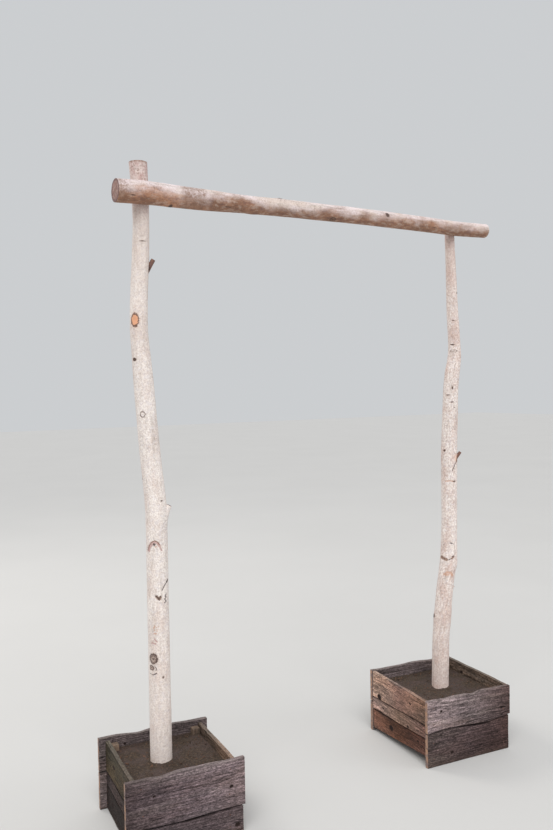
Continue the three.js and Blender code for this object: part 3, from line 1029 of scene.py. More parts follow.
@shader_group("Smooth Bark", {"Place": NOWHERE, "Dash Cover": 0.5})
def smooth_bark(place, dash_cover):
    """Mottling, streaks, cross dashes, specks and relief of smooth pale bark."""
    dashes = place.stretched(1, 1, 8.5).noise(52.0, 3.0, 0.6, 0.3)
    cover = place.noise(11.0, 2.0).between(0.40, 0.62) * dash_cover
    dash = dashes.between(0.58, 0.66) * cover
    wrinkle = place.stretched(1, 1, 5.0).noise(85.0, 6.0, 0.62)
    return {
        "Mottle": place.stretched(1, 1, 0.45).noise(19.0, 6.0, 0.66),
        "Streak": place.stretched(1, 1, 0.10).noise(95.0, 4.0, 0.6),
        "Dash": dash,
        "Speck": place.stretched(1, 1, 1.8).noise(230.0, 4.0, 0.75).between(0.54, 0.68),
        "Relief": wrinkle + place.noise(700.0, 2.0, 0.6) * 0.35 - dash * 0.8,
    }


@shader_group("Growth Rings", {"Place": NOWHERE, "Ring Width": 0.0022})
def growth_rings(place, ring_width):
    """Growth rings, radial checks and saw relief of a sawn pole end."""
    flat = place.stretched(1, 1, 0)
    late = ((flat.length() + flat.noise(42.0) * 0.007) / ring_width).rings(0.35, 0.92, 0.95)
    rays = flat.vector("NORMALIZE").noise(1.7, 1.0, 0.5)
    check = abs(rays - 0.5).between(0.016, 0.004) * flat.noise(60.0, 2.0).between(0.44, 0.58)
    saw = place.stretched(1, 0.12, 1).noise(380.0)
    return {"Late Wood": late, "Check": check, "Relief": saw - check * 1.6 - late * 0.3}


@shader_group("Plank Grain", {"Place": NOWHERE, "Ring Width": 0.006, "Knot": FAR,
                              "Second Knot": FAR})
def plank_grain(place, ring_width, *knots):
    """Grain of a weathered plank that runs along X, flowing round two knots."""
    bulges, cores = [], []
    for knot in knots:
        _, radius, across = knot.parts()
        near = knot.stretched(0.30, 0.0, 0.42).length()
        fall = (near.math("POWER", 2.0) * -1.0).math("EXPONENT")
        bulges.append(across * radius * fall * 0.82)
        far = knot.stretched(0.8, 0.0, 1.0).length()
        cores.append(far + place.noise(190.0, 2.0) * 0.5)
    core = cores[0].math("MINIMUM", cores[1])
    x, y, z = place.parts()
    wave = (place.stretched(1.6, 3.0, 6.0).noise(1.0, 3.0, 0.5) - 0.5) * 0.055
    height = z - (bulges[0] + bulges[1]) + wave
    combined = place.shade.combined
    radius = combined(0.0, y, height).length() + x * 0.012
    uneven = place.stretched(0.6, 20.0, 20.0).noise(1.0, 2.0)
    late = (radius / ring_width + uneven + uneven).rings(0.30, 0.90, 0.93)
    fibre = combined(x * 0.045, y, height).noise(330.0, 5.0, 0.68)
    rift = combined(x * 0.030, y, height).noise(105.0, 3.0, 0.55)
    sparse = place.stretched(5.0, 12.0, 12.0).noise(1.0, 2.0).between(0.47, 0.60)
    crack = abs(rift - 0.5).between(0.016, 0.004) * sparse
    knot = core.between(1.25, 0.95)
    return {
        "Late Wood": late, "Fibre": fibre, "Crack": crack, "Knot": knot,
        "Knot Rings": (core * 3.2).math("FRACT"),
        "Relief": fibre * 0.75 + late * 0.55 - crack * 1.3 - knot * 0.5,
    }


@shader_group("Mud Splash", {"Place": NOWHERE, "Reach": 0.06})
def mud_splash(place, reach):
    """Dried mud and dust low down on a piece, ragged at its upper edge."""
    level = place.parts()[2] / reach + place.noise(34.0, 5.0, 0.65) * 1.6
    return {"Mask": level.between(1.55, 0.65)}


# How each kind of mark is coloured from its middle, 0, to two half widths out, 1: the place,
# how much of its colour is dark there and how much it covers the bark.
MARK_LOOKS = {
    "knot": ((0.0, 1.0, 1.0), (0.16, 0.45, 1.0), (0.30, 1.0, 1.0), (0.47, 0.75, 0.85),
             (0.62, 0.2, 0.25), (0.80, 0.0, 0.0)),
    "ringed": ((0.0, 0.9, 1.0), (0.11, 0.8, 0.9), (0.18, 0.0, 0.6), (0.25, 0.0, 0.6),
               (0.32, 0.9, 0.95), (0.38, 0.05, 0.65), (0.44, 1.0, 1.0), (0.52, 0.8, 0.9),
               (0.60, 0.1, 0.2), (0.80, 0.0, 0.0)),
    "eye": ((0.0, 0.2, 0.15), (0.24, 0.0, 0.0), (0.38, 0.4, 0.5), (0.46, 0.8, 0.85),
            (0.54, 0.3, 0.3), (0.66, 0.0, 0.0)),
    "scar": ((0.0, 0.9, 0.95), (0.30, 0.7, 0.9), (0.50, 0.3, 0.4), (0.75, 0.0, 0.0)),
    "stain": ((0.0, 0.0, 0.55), (0.35, 0.0, 0.45), (0.60, 0.0, 0.15), (0.90, 0.0, 0.0)),
    "wound": ((0.0, 0.0, 1.0), (0.36, 0.0, 1.0), (0.44, 0.85, 1.0), (0.52, 0.9, 0.9),
              (0.60, 0.1, 0.15), (0.72, 0.0, 0.0)),
}
MARK_RAGGEDNESS = 0.35


def mark_distance(shade, place, line, mark, lying):
    """One mark's own distance, or its mask if it is a brow."""
    kind, height, degrees, half_width, half_height = mark
    centre, out = on_bark(line, height * MM, degrees)
    size = Vector((half_width, half_width, half_height)) * MM
    if lying:
        centre, size = centre.zxy, size.zxy
    if kind == "brow":
        return bark_brow(shade, place, centre, size)["Mask"]
    return bark_mark(shade, place, centre, size, MARK_RAGGEDNESS)["Distance"]


def add_marks(shade, colour, place, line, marks, colours, lying=False):
    """Lays the marks of one pole over its bark: gives the colour and a mask of the marks."""
    masks = []
    for kind in sorted({mark[0] for mark in marks}):
        found = [mark_distance(shade, place, line, mark, lying)
                 for mark in marks if mark[0] == kind]
        if kind == "brow":
            cover = reduce(lambda first, second: first.math("MAXIMUM", second), found)
            colour = shade.mix(cover * 0.85, colour, colours.brown_mark)
        else:
            nearest = reduce(lambda first, second: first.math("MINIMUM", second), found)
            dark, cover = shade.ramp(nearest * 0.5, MARK_LOOKS[kind])
            fill = colours.wound if kind in ("wound", "stain") else colours.brown_mark
            colour = shade.mix(cover, colour, shade.mix(dark, fill, colours.dark_mark))
        masks.append(cover)
    return colour, reduce(lambda first, second: first.math("MAXIMUM", second), masks)


def add_strokes(shade, colour, place, line, strokes, colours):
    """Draws the lines and blots of one post on its bark: gives the colour and their mask."""
    mask = 0.0
    ragged = (place.noise(330.0, 2.0) - 0.5) * 1.7
    inks = (("tan", colours.tan_mark, 0.60), ("faint", colours.red_mark, 0.64),
            ("brown", colours.brown_mark, 0.85), ("dark", colours.dark_mark, 0.92))
    for kind, fill, ink in inks:
        nearest = BEYOND
        for name, half_width, *points in strokes:
            spots = [on_bark(line, height * MM, degrees)[0] for height, degrees in points]
            ends = spots[1:] or [spots[0] + Vector((0, 0, BLOT_LENGTH))]
            for start, end in zip(spots, ends):
                if name == kind:
                    found = bark_stroke(shade, place, start, end, half_width * MM)["Distance"]
                    nearest = found.math("MINIMUM", nearest)
        cover = (ragged + nearest).between(1.4, 0.7, 0.0, ink)
        colour = shade.mix(cover, colour, fill)
        mask = cover.math("MAXIMUM", mask)
    return colour, mask


def bark_material(name, line, marks, strokes, colours, pale, tinted, dash_cover, specks):
    """Smooth pale bark of a post, greyer and dirtier towards the soil, with its own marks.

    The specks are how fine they are and how dark, as factors of red, green and blue.
    """
    shade = MaterialShade(name, pale, 0.7)
    along = shade.attribute("pole_place")
    place = shade.place()
    bark = smooth_bark(shade, along, dash_cover)
    fineness, *darkness = specks
    speckle = along.stretched(1, 1, 0.8).noise(fineness, 3.0, 0.75).between(0.38, 0.62)
    height = place.parts()[2]
    tip = height.between(2.18, 2.36)
    flecks = along.stretched(1, 1, 0.6).noise(62.0, 5.0, 0.72).between(0.46, 0.60) * tip
    fine_flecks = along.stretched(1, 1, 1.3).noise(125.0, 4.0, 0.7).between(0.52, 0.60) * tip
    colour = shade.layers(
        pale,
        (bark["Mottle"].between(0.44, 0.66, 0.0, 0.75), tinted),
        (bark["Streak"].between(0.50, 0.72) * 0.42, colours.grey_bark),
        (bark["Speck"] * 0.45, colours.grey_bark),
        (bark["Dash"] * 0.75, colours.grey_bark),
        (along.stretched(1, 1, 0.8).noise(125.0, 4.0, 0.7).between(0.40, 0.62, 0.0, 0.34), tinted),
        (1.0, shade.mix(speckle, darkness, (1.14, 1.14, 1.14)), "MULTIPLY"),
        (along.noise(90.0, 3.0, 0.7).between(0.50, 0.62, 0.0, 0.28), (0.62, 0.58, 0.64)),
        (height.between(0.75, 0.25) * 0.40, tinted),
        (height.between(1.72, 2.25) * 0.42, tinted),
        (tip * 0.28, (0.56, 0.37, 0.36)),
        (flecks * 0.45, colours.red_mark),
        (fine_flecks * 0.60, colours.brown_mark),
        ((height + bark["Mottle"] * 0.020).between(2.436, 2.448) * 0.70, colours.brown_mark),
        (mud_splash(shade, place, 0.30)["Mask"] * 0.75, colours.grey_bark),
    )
    colour, marked = add_marks(shade, colour, place, line, marks, colours)
    colour, drawn = add_strokes(shade, colour, place, line, strokes, colours)
    marked = marked.math("MAXIMUM", drawn)
    return shade.finish(colour, bark["Mottle"] * 0.22 + 0.56 + marked * 0.15,
                        bark["Relief"] - marked * 1.1, 0.0013)


# Where the line of the beam's peeled bark runs higher or lower: the middle of the stretch along
# the beam, half its length and by how much. The bark is wrinkled at the first one's middle.
PEEL_SHIFTS = ((-0.559, 0.045, 0.006), (-0.40, 0.09, -0.018), (0.58, 0.09, -0.014))


def peeling(place, height, along):
    """Where the beam's outer bark has peeled off: along a wavering line, lower on its knots."""
    ragged = (place.stretched(1, 1, 0.5).noise(24.0, 5.0, 0.62) - 0.5) * 0.085
    drift = (place.stretched(0.5, 0.5, 1).noise(3.4, 2.0) - 0.5) * 0.07
    level = height + ragged + drift
    for middle, half, push in PEEL_SHIFTS:
        level = level + abs(along - middle).between(half * 1.25, half * 0.6) * push
    return level.between(0.024, -0.026)


def beam_material(name, line, marks, colours):
    """Bark of the crossbeam: pale and flaking above, brown inner bark along its underside."""
    shade = MaterialShade(name, colours.beam_bark, 0.75)
    place = shade.attribute("pole_place")
    bark = smooth_bark(shade, place, 0.6)
    _, height, along = place.parts()
    peeled = peeling(place, height, along)
    pale = shade.layers(
        colours.beam_bark,
        (bark["Mottle"].between(0.40, 0.66), colours.pink_bark),
        (bark["Streak"].between(0.46, 0.70) * 0.55, colours.grey_bark),
        (bark["Dash"] * 0.8, colours.brown_mark),
    )
    fibres = place.stretched(1, 1, 0.07).noise(260.0, 5.0, 0.7)
    patches = place.stretched(1, 1, 0.5).noise(75.0, 4.0, 0.65)
    tan = shade.layers(
        colours.inner_bark,
        (fibres.between(0.36, 0.66), colours.brown_mark),
        (place.noise(13.0).between(0.42, 0.64) * 0.36, colours.wound),
        (along.between(-0.56, -0.44, 0.0, 0.45), colours.brown_mark),
        (patches.between(0.50, 0.38, 0.0, 0.32), colours.pink_bark),
        (patches.between(0.52, 0.62, 0.0, 0.50), colours.stub),
    )
    flecks = place.stretched(1, 1, 2.5).noise(150.0, 4.0, 0.7).between(0.51, 0.64)
    blotch = place.noise(95.0, 6.0, 0.75, 0.6).between(0.36, 0.64)
    rough_end = along.between(-0.785, -0.835)
    wrinkled = abs(along - PEEL_SHIFTS[0][0]).between(0.060, 0.032)
    scuffed = (rough_end * 0.85).math("MAXIMUM", wrinkled * 0.88)
    colour = shade.layers(
        pale,
        (peeled, tan),
        (flecks * 0.55, colours.brown_mark),
        (blotch * scuffed, colours.brown_mark),
        (wrinkled * 0.20, colours.brown_mark),
    )
    colour, marked = add_marks(shade, colour, shade.place(), line, marks, colours, lying=True)
    high = bark["Relief"] - marked * 1.0 - peeled * 0.9 + fibres * peeled
    return shade.finish(colour, fibres * 0.2 + 0.62, high, 0.0015)


def sawn_end_material(colours):
    """Weathered sawn end of a pole with rings, checks and a darker bark rim."""
    shade = MaterialShade("sawn pole end", colours.sawn_end, 0.85)
    place = shade.attribute("pole_place")
    rings = growth_rings(shade, place, 0.0023)
    aged = place.noise(60.0, 4.0, 0.6)
    radius = place.stretched(1, 1, 0).length()
    colour = shade.layers(
        colours.sawn_end,
        (aged.between(0.42, 0.62, 0.0, 0.30), colours.pink_bark),
        (rings["Late Wood"] * 0.5, colours.brown_mark),
        (place.noise(110.0, 3.0, 0.6).between(0.47, 0.60, 0.0, 0.45), colours.stub),
        (radius.between(0.010, 0.003) * 0.5, colours.brown_mark),
        (radius.between(0.027, 0.038) * 0.85, colours.stub),
        (rings["Check"], colours.dark_mark),
    )
    return shade.finish(colour, aged * 0.2 + 0.72, rings["Relief"], 0.0009)


def stub_material(colours):
    """Dark, weathered bark and wood of an old branch stub."""
    shade = MaterialShade("weathered stub", colours.stub, 0.85)
    place = shade.place()
    fibres = place.stretched(1, 1, 0.2).noise(340.0, 4.0, 0.65)
    colour = shade.layers(
        colours.stub,
        (fibres.between(0.36, 0.64), colours.brown_mark),
        (place.noise(90.0, 3.0, 0.6).between(0.50, 0.66), colours.dark_mark),
    )
    return shade.finish(colour, fibres * 0.2 + 0.72, fibres, 0.0012)


def plank_material(name, colours, pale, dark, ring_width, edge_wear_and_highlight, warmth):
    """Weathered board: grey fibres, dark late wood, knots, cracks and pale worn edges.

    The pale top edge of an upper board is partly wear and partly a painted highlight, the dark
    seams are painted shade in the gaps between boards with some dirt, and the board's tone is
    partly painted light and shade.
    """
    shade = MaterialShade(name, pale, 0.85)
    shade.shader.inputs["Specular IOR Level"].default_value = 0.15
    place = shade.attribute("grain_place")
    to_rim, to_seam, to_end = shade.attribute("edge_place").parts()
    plank = plank_grain(shade, place, ring_width, shade.attribute("knot_place"),
                        shade.attribute("second_knot_place"))
    tone = place.stretched(2.2, 9.0, 9.0).noise(1.0, 3.0, 0.6)
    patch = place.stretched(3.0, 8.0, 8.0).noise(1.0).between(0.46, 0.66)
    bleach = place.stretched(1.1, 14.0, 14.0).noise(1.7, 4.0, 0.62).between(0.52, 0.72)
    gritty = place.stretched(0.45, 1.0, 1.0)
    grit = gritty.noise(270.0, 4.0, 0.8).between(0.38, 0.62, 0.56, 1.44)
    coarse = gritty.noise(120.0, 3.0, 0.75).between(0.36, 0.64, 0.70, 1.30)
    streak = place.stretched(0.05, 1.0, 1.0).noise(150.0, 3.0, 0.6).between(0.38, 0.62, 0.82, 1.18)
    ragged = place.noise(120.0, 4.0, 0.6) * 0.006
    # The pale rim along the top edge of an upper board is partly wear and partly a painted highlight
    # where light falls on the top edge; the pale board ends are wear.
    rim = (to_rim + ragged).between(0.0075, 0.0025)
    side = (to_end + ragged).between(0.007, 0.0025, 0.0, 0.6)
    # The dark band along each seam is painted shade in the gap between boards, partly dirt, stronger
    # in some places than in others.
    seam_dirt_and_shade = place.stretched(6.0, 12.0, 12.0).noise(1.0, 3.0, 0.6).between(0.44, 0.60, 0.10, 0.85)
    seam = (to_seam + ragged).between(0.0095, 0.0030)
    knot = shade.mix(plank["Knot Rings"] * 0.45, colours.board_gap, colours.dark_mark)
    mud = mud_splash(shade, shade.place(), 0.035)["Mask"]
    colour = shade.layers(
        dark,
        (plank["Fibre"].between(0.34, 0.64), pale),
        (plank["Late Wood"] * 0.55, dark),
        (tone.between(0.30, 0.62, 0.40, 0.0), dark),
        (patch * warmth, colours.board_end),
        (bleach * 0.22, colours.worn_edge),
        # The board's tone carries its painted light and shade as well as its own colour.
        (1.0, shade.attribute("board_tone"), "MULTIPLY"),
        (1.0, grit, "MULTIPLY"),
        (1.0, coarse, "MULTIPLY"),
        (1.0, streak, "MULTIPLY"),
        (rim.math("MAXIMUM", side) * edge_wear_and_highlight, colours.worn_edge),
        (seam * seam_dirt_and_shade, colours.board_gap),
        (plank["Knot"], knot),
        (plank["Crack"] * 0.85, colours.board_gap),
        (mud * 0.15, (0.23, 0.155, 0.115)),
    )
    return shade.finish(colour, plank["Fibre"] * 0.22 + 0.68, plank["Relief"], 0.0022)


def end_grain_material(name, colours):
    """End grain of a sawn board: curved rings and open pores."""
    shade = MaterialShade(name, colours.board_end, 0.9)
    place = shade.attribute("grain_place")
    radius = place.stretched(0, 1, 1).length()
    late = ((radius + place.noise(45.0) * 0.010) / 0.0034).rings(0.25, 0.85, 0.92)
    pores = place.noise(900.0, 3.0, 0.7)
    colour = shade.layers(
        colours.board_end,
        (place.noise(50.0).between(0.40, 0.66), colours.face_board),
        (late * 0.6, colours.brown_mark),
        (pores.between(0.55, 0.7) * 0.5, colours.dark_mark),
    )
    return shade.finish(colour, pores * 0.15 + 0.8, pores - late * 0.4, 0.0008)


def timber_material(colours):
    """Rough-sawn inner timber, dusted with soil."""
    shade = MaterialShade("inner timber", colours.timber, 0.85)
    place = shade.attribute("grain_place")
    plank = plank_grain(shade, place, 0.0045)
    saw = place.stretched(1, 0.05, 0.05).noise(420.0, 2.0)
    colour = shade.layers(
        colours.timber,
        (plank["Late Wood"] * 0.5, colours.board_end),
        (plank["Fibre"].between(0.4, 0.66) * 0.5, colours.side_board),
        (shade.place().noise(22.0, 4.0).between(0.40, 0.66) * 0.5, colours.side_dark),
        (plank["Crack"], colours.dark_mark),
    )
    return shade.finish(colour, plank["Fibre"] * 0.2 + 0.7, plank["Relief"] + saw * 0.5, 0.0012)


def soil_material(colours):
    """Damp dark soil with dry crumbs, fibres and small pale grains."""
    shade = MaterialShade("potting soil", colours.soil, 1.0)
    place = shade.place()
    clods = place.noise(120.0, 6.0, 0.7)
    damp = place.noise(14.0)
    fibres = place.stretched(1, 0.22, 1).noise(520.0, 3.0, 0.6, 1.5)
    dry = [min(1.0, channel * 3.2) for channel in colours.soil]
    colour = shade.layers(
        colours.soil,
        (clods.between(0.44, 0.72), dry),
        (damp.between(0.36, 0.6, 0.55, 0.0), colours.dark_mark),
        (fibres.between(0.64, 0.72) * 0.5, colours.inner_bark),
        (place.noise(430.0, 1.0).between(0.735, 0.76) * 0.8, colours.worn_edge),
    )
    return shade.finish(colour, damp.between(0.36, 0.6, 0.72, 0.98), clods + fibres * 0.3, 0.004)


def chip_material(colours):
    """Bark chips and crumbs on the soil, each a little different."""
    shade = MaterialShade("bark chips", colours.inner_bark, 0.9)
    place = shade.place()
    grain = place.stretched(1, 0.3, 1).noise(600.0, 4.0, 0.65)
    old = [0.35 * channel for channel in colours.inner_bark]
    colour = shade.layers(
        colours.soil,
        (place.noise(55.0, 2.0).between(0.40, 0.62), old),
        (grain.between(0.45, 0.7) * 0.25, colours.brown_mark),
    )
    return shade.finish(colour, grain * 0.2 + 0.75, grain, 0.0008)


def steel_material(name, colours, rust_from, rust_to):
    """Plated steel that rusts where the noise is high."""
    shade = MaterialShade(name, colours.zinc, 0.45)
    place = shade.place()
    blooms = place.noise(420.0, 5.0, 0.65)
    spangle = place.noise(900.0, 2.0)
    rusty = blooms.between(rust_from, rust_to)
    rust = shade.mix(spangle.between(0.35, 0.65), colours.rust, colours.dark_mark)
    colour = shade.layers(
        colours.zinc,
        (spangle.between(0.4, 0.6), (0.40, 0.41, 0.43)),
        (rusty, rust),
    )
    return shade.finish(colour, rusty * 0.45 + 0.38, blooms * rusty + spangle, 0.0002,
                        Metallic=1.0 - rusty)


# Boards.


def board_place(box, side):
    """The matrix that puts a board, made facing -Y, on one side of a box."""
    box = BOXES[box]
    turns = {"front": 0, "back": math.pi, "outer": box.outwards * math.pi / 2,
             "inner": -box.outwards * math.pi / 2}
    inside = box.face_inside if side in FACES else box.side_inside
    turn = Matrix.Rotation(turns[side], 4, "Z")
    return box.place @ turn @ Matrix.Translation((0, -inside, 0))


class Outline:
    """The lower and the upper edge of a board's node, in the board's own frame."""

    def __init__(self, node, place):
        to_board = place.inverted()
        spots = [to_board @ vertex.co for vertex in frame["nodes"][node].data.vertices]
        heights = [spot.z for spot in spots]
        middle = (min(heights) + max(heights)) / 2
        self.edges = []
        for upper in (False, True):
            line = {(round(spot.x, 5), round(spot.z, 5))
                    for spot in spots if (spot.z > middle) == upper}
            self.edges.append(tuple(zip(*sorted(line))))
        self.start, self.end = self.edges[1][0][0], self.edges[1][0][-1]

    def at(self, x):
        """How high the lower and the upper edge are at places along the board."""
        return [np.interp(x, *edge) for edge in self.edges]

    def inside(self, x, z):
        """How far places are from the lower edge, the upper edge and the nearer end."""
        low, high = self.at(x)
        return z - low, high - z, np.minimum(x - self.start, self.end - x)


def saw_board(name, outline, thickness):
    """A board of a block cut into columns, each moved to the height of the sawn edges."""
    start, end = outline.start, outline.end
    levels = [float(level) for level in outline.at(start)]
    board = add_block(name, (start, -thickness, levels[0]), (end, 0, levels[1]))
    columns = round((end - start) / BOARD_COLUMN)
    split(board, 0, columns - 1)
    with editing(board, "VERT", everything=False):
        for i in range(columns + 1):
            x = start + (end - start) * i / columns
            for level, height in zip(levels, outline.at(x)):
                pick_vertices(board, lambda spot: abs(spot.x - x) < SAME_COLUMN
                              and abs(spot.z - level) < SAME_EDGE)
                if abs(height - level) > SAME_EDGE:
                    bpy.ops.transform.translate(value=(0, 0, height - level))
    split(board, 2, max(2, round((levels[1] - levels[0]) / BOARD_ROW)) - 1)
    split(board, 1, 1)
    with editing(board):
        bpy.ops.mesh.subdivide(number_cuts=2)
    return board


def crack_tool(start, end, height, width, thickness):
    """A wedge that opens a crack from a board's end and runs out to nothing inwards."""
    low = (min(start, end) * MM, -thickness - 0.004, (height - width / 2) * MM)
    high = (max(start, end) * MM, -thickness * 0.30, (height + width / 2) * MM)
    tool = add_block("wedge", low, high)
    split(tool, 0, CRACK_STEPS - 1)
    slope = random.Random(round(height)).uniform(-3.0, 3.0) * MM
    with editing(tool, "VERT", everything=False):
        for i in range(CRACK_STEPS + 1):
            x = (start + (end - start) * i / CRACK_STEPS) * MM
            pick_vertices(tool, lambda spot: abs(spot.x - x) < SAME_COLUMN)
            close = 1.0 - 0.94 * (i / CRACK_STEPS) ** 1.3
            bpy.ops.transform.resize(value=(1, 1, close), center_override=(x, 0, height * MM))
            sway = slope * i / CRACK_STEPS + 0.0007 * math.sin(2.3 * i + height)
            bpy.ops.transform.translate(value=(0, 0, sway))
    return tool


def mark_edges(board, outline):
    """A vertex group of the board's edges, so that they are worn more than its faces."""
    group = board.vertex_groups.new(name="edges")
    x, _, z = vertex_places(board)
    away = np.maximum(np.minimum.reduce(outline.inside(x, z)), 0)
    for i, weight in enumerate(np.maximum(0.04, np.exp(-away / EDGE_WEAR_REACH))):
        group.add([i], weight, "REPLACE")


def store_grain(board, row, look, outline, seed):
    """Keeps what the plank material reads at each vertex of a board.

    That is its place in the trunk that the board was sawn from, how far it is from the board's
    edges, the board's tone there with its painted light and shade, and where it lies from each
    knot, in the knot's half widths.
    """
    draw = random.Random(seed)
    shift = Vector((draw.uniform(0, 6), draw.uniform(0.03, 0.07), -draw.uniform(0.05, 0.12)))
    x, y, z = vertex_places(board)
    middle = sum(edge[1][0] for edge in outline.edges) / 2
    store(board, "grain_place",
          np.transpose((x + shift.x, y + shift.y, z - middle + shift.z + 0.08)))
    to_low, to_top, to_end = outline.inside(x, z)
    # Only the top edge of an upper board gets the pale rim, which is partly a painted highlight.
    to_rim = to_top if row == "upper" else np.full_like(x, 9)
    to_seam = {"upper": to_low, "middle": np.minimum(to_top, to_low), "lower": to_top}
    store(board, "edge_place", np.transpose((to_rim, to_seam[row], to_end)))
    tone = draw.uniform(0.84, 1.2)
    places = (outline.start, (outline.start + outline.end) / 2, outline.end)
    channels = [np.interp(x, places, channel) for channel in zip(*look.tones_and_painted_light or [(tone,) * 3] * 3)]
    # The fade paints shade and light by height: the fall runs from -1 at the top edge through 0 in
    # the middle to 1 at the lower edge.
    fall = (to_top - to_low) / (to_top + to_low)
    store(board, "board_tone", np.transpose(channels * look.fade ** fall))
    for name, (along, up, radius) in zip(("knot_place", "second_knot_place"), look.knots):
        store(board, name, np.transpose(((x / MM - along) / radius, np.full_like(x, radius * MM),
                                         (z / MM - up) / radius)))


def board_piece(box, side, row, slot, thickness, materials, sizes, seed):
    """A board that is sawn, rounded, split and weathered in its own frame, then put in place."""
    node = f"{box}_{side}_{row}_board"
    look = BOARDS[box, side, row]
    place = board_place(box, side)
    outline = Outline(node, place)
    board = saw_board(node.replace("_board", "_plank"), outline, thickness)
    dress(board, *materials)
    round_edges(board, sizes.edge_round)
    relief(board, 0.05, sizes.board_warp, middle=1.0, stretch=(3, 1, 1), seed=seed)
    relief(board, 0.010, sizes.board_ridge, middle=1.0, stretch=(9, 1, 1), seed=seed + 3)
    for along, up, radius in look.knots:
        middle = Vector((along * MM, -thickness, up * MM))
        press(board, middle, (0, KNOT_DEPTH, 0), radius * MM, "SPHERE")
    carve(board, *[crack_tool(*crack, thickness) for crack in look.cracks])
    mark_edges(board, outline)
    relief(board, 0.012, sizes.board_nibble, middle=1.0, stretch=(2.2, 1, 1), depth=3,
           group="edges", seed=seed + 7)
    paint_faces(board, 1, lambda face: abs(face.normal.x) > 0.75)
    store_grain(board, row, look, outline, seed)
    set_down(board, place)
    smooth(board)
    hand_over(board, slot, node)


def cover_sides(sides, slot, thickness, materials, sizes, seed):
    """All boards of some sides of the boxes, each with its own seed."""
    for name in BOARDS:
        if name[1] in sides:
            board_piece(*name, slot, thickness, materials, sizes, seed)
            seed += 1


def corner_notches(size, notch):
    """Blocks that cut the corners out of a floor panel."""
    for x, y in ((1, 1), (1, -1), (-1, 1), (-1, -1)):
        low = Vector((x * (size.x - notch) / 2 - notch / 2, y * (size.y - notch) / 2 - notch / 2,
                      -1))
        yield add_block("corner", low, low + Vector((notch, notch, 2)))


def timber_piece(node, size, place, material, sizes, seed, notch=0.0):
    """A piece of sawn timber that lies along X, then is turned and moved to its place."""
    size = Vector(size)
    timber = add_block(node + "_timber", -size / 2, size / 2)
    if notch:
        for tool in corner_notches(size, notch):
            carve(timber, tool)
    else:
        split(timber, 0, round(size.x / TIMBER_COLUMN))
        for axis in (1, 2):
            split(timber, axis, max(2, round(size[axis] / TIMBER_ROW)))
    round_edges(timber, sizes.edge_round)
    if not notch:
        relief(timber, 0.02, sizes.board_warp * 0.6, middle=1.0, stretch=(4, 1, 1), seed=seed)
    dress(timber, material)
    draw = random.Random(seed)
    shift = Vector((draw.uniform(0, 5), draw.uniform(0.02, 0.06), draw.uniform(0.01, 0.05)))
    store(timber, "grain_place", [vertex.co + shift for vertex in timber.data.vertices])
    set_down(timber, place)
    smooth(timber)
    hand_over(timber, "inner_wood", node)


# Soil.


def earth_block(name, box, post_line, sizes):
    """A block of soil with mounds and clods on top that rises towards the post."""
    half_length, half_depth = box.bed
    soil = add_block(name, (-half_length, -half_depth, FLOOR_TO + SEAT_GAP),
                     (half_length, half_depth, SOIL_TOP))
    for axis, cuts in enumerate(SOIL_CUTS):
        split(soil, axis, cuts)
    x, y, z = np.abs(vertex_places(soil))
    top = (z > SOIL_TOP - 0.001) & (half_length - x > 0.001) & (half_depth - y > 0.001)
    group = soil.vertex_groups.new(name="top")
    group.add(np.flatnonzero(top).tolist(), 1.0, "REPLACE")
    relief(soil, 0.05, sizes.soil_mound, group="top", seed=box.x * 4)
    relief(soil, 0.010, sizes.soil_clod, group="top", depth=4, seed=box.x * 7)
    middle = Vector((*post_line(SOIL_TOP)[:2], SOIL_TOP))
    press(soil, box.place.inverted() @ middle, (0, 0, POST_MOUND), POST_MOUND_REACH)
    with picked(soil, "FACE", lambda face: face.normal.z < -0.9):
        bpy.ops.mesh.dissolve_faces()
    set_down(soil, box.place)
    return soil


def batten_notch(box, x, y):
    """A block that leaves room in the soil for one corner batten."""
    half_length, half_depth = box.bed
    notch = BATTEN + 2 * SEAT_GAP
    corner = Vector((x * half_length, y * half_depth, NOTCH_MIDDLE))
    inner = corner - Vector((x * notch, y * notch, 0))
    outer = corner + Vector((x * NOTCH_BEYOND, y * NOTCH_BEYOND, 0))
    half_height = Vector((0, 0, NOTCH_HALF_HEIGHT))
    tool = add_block("corner", Vector(map(min, inner, outer)) - half_height,
                     Vector(map(max, inner, outer)) + half_height)
    set_down(tool, box.place)
    return tool


def add_chip(place, size, turn, flat, draw, seed):
    """A flat chip of bark or a round crumb of soil."""
    if flat:
        bpy.ops.mesh.primitive_cube_add(size=2 * size, location=place, rotation=turn)
        chip = bpy.context.object
        chip.scale = (draw.uniform(1.2, 2.4), draw.uniform(0.5, 0.9), 0.28)
        add_modifier(chip, "BEVEL", width=size * 0.3, segments=1)
    else:
        bpy.ops.mesh.primitive_uv_sphere_add(segments=7, ring_count=5, radius=size,
                                             location=place, rotation=turn)
        chip = bpy.context.object
        chip.scale = (1.0, draw.uniform(0.6, 0.9), draw.uniform(0.5, 0.8))
        relief(chip, size, size * 0.8, seed=seed)
    return chip


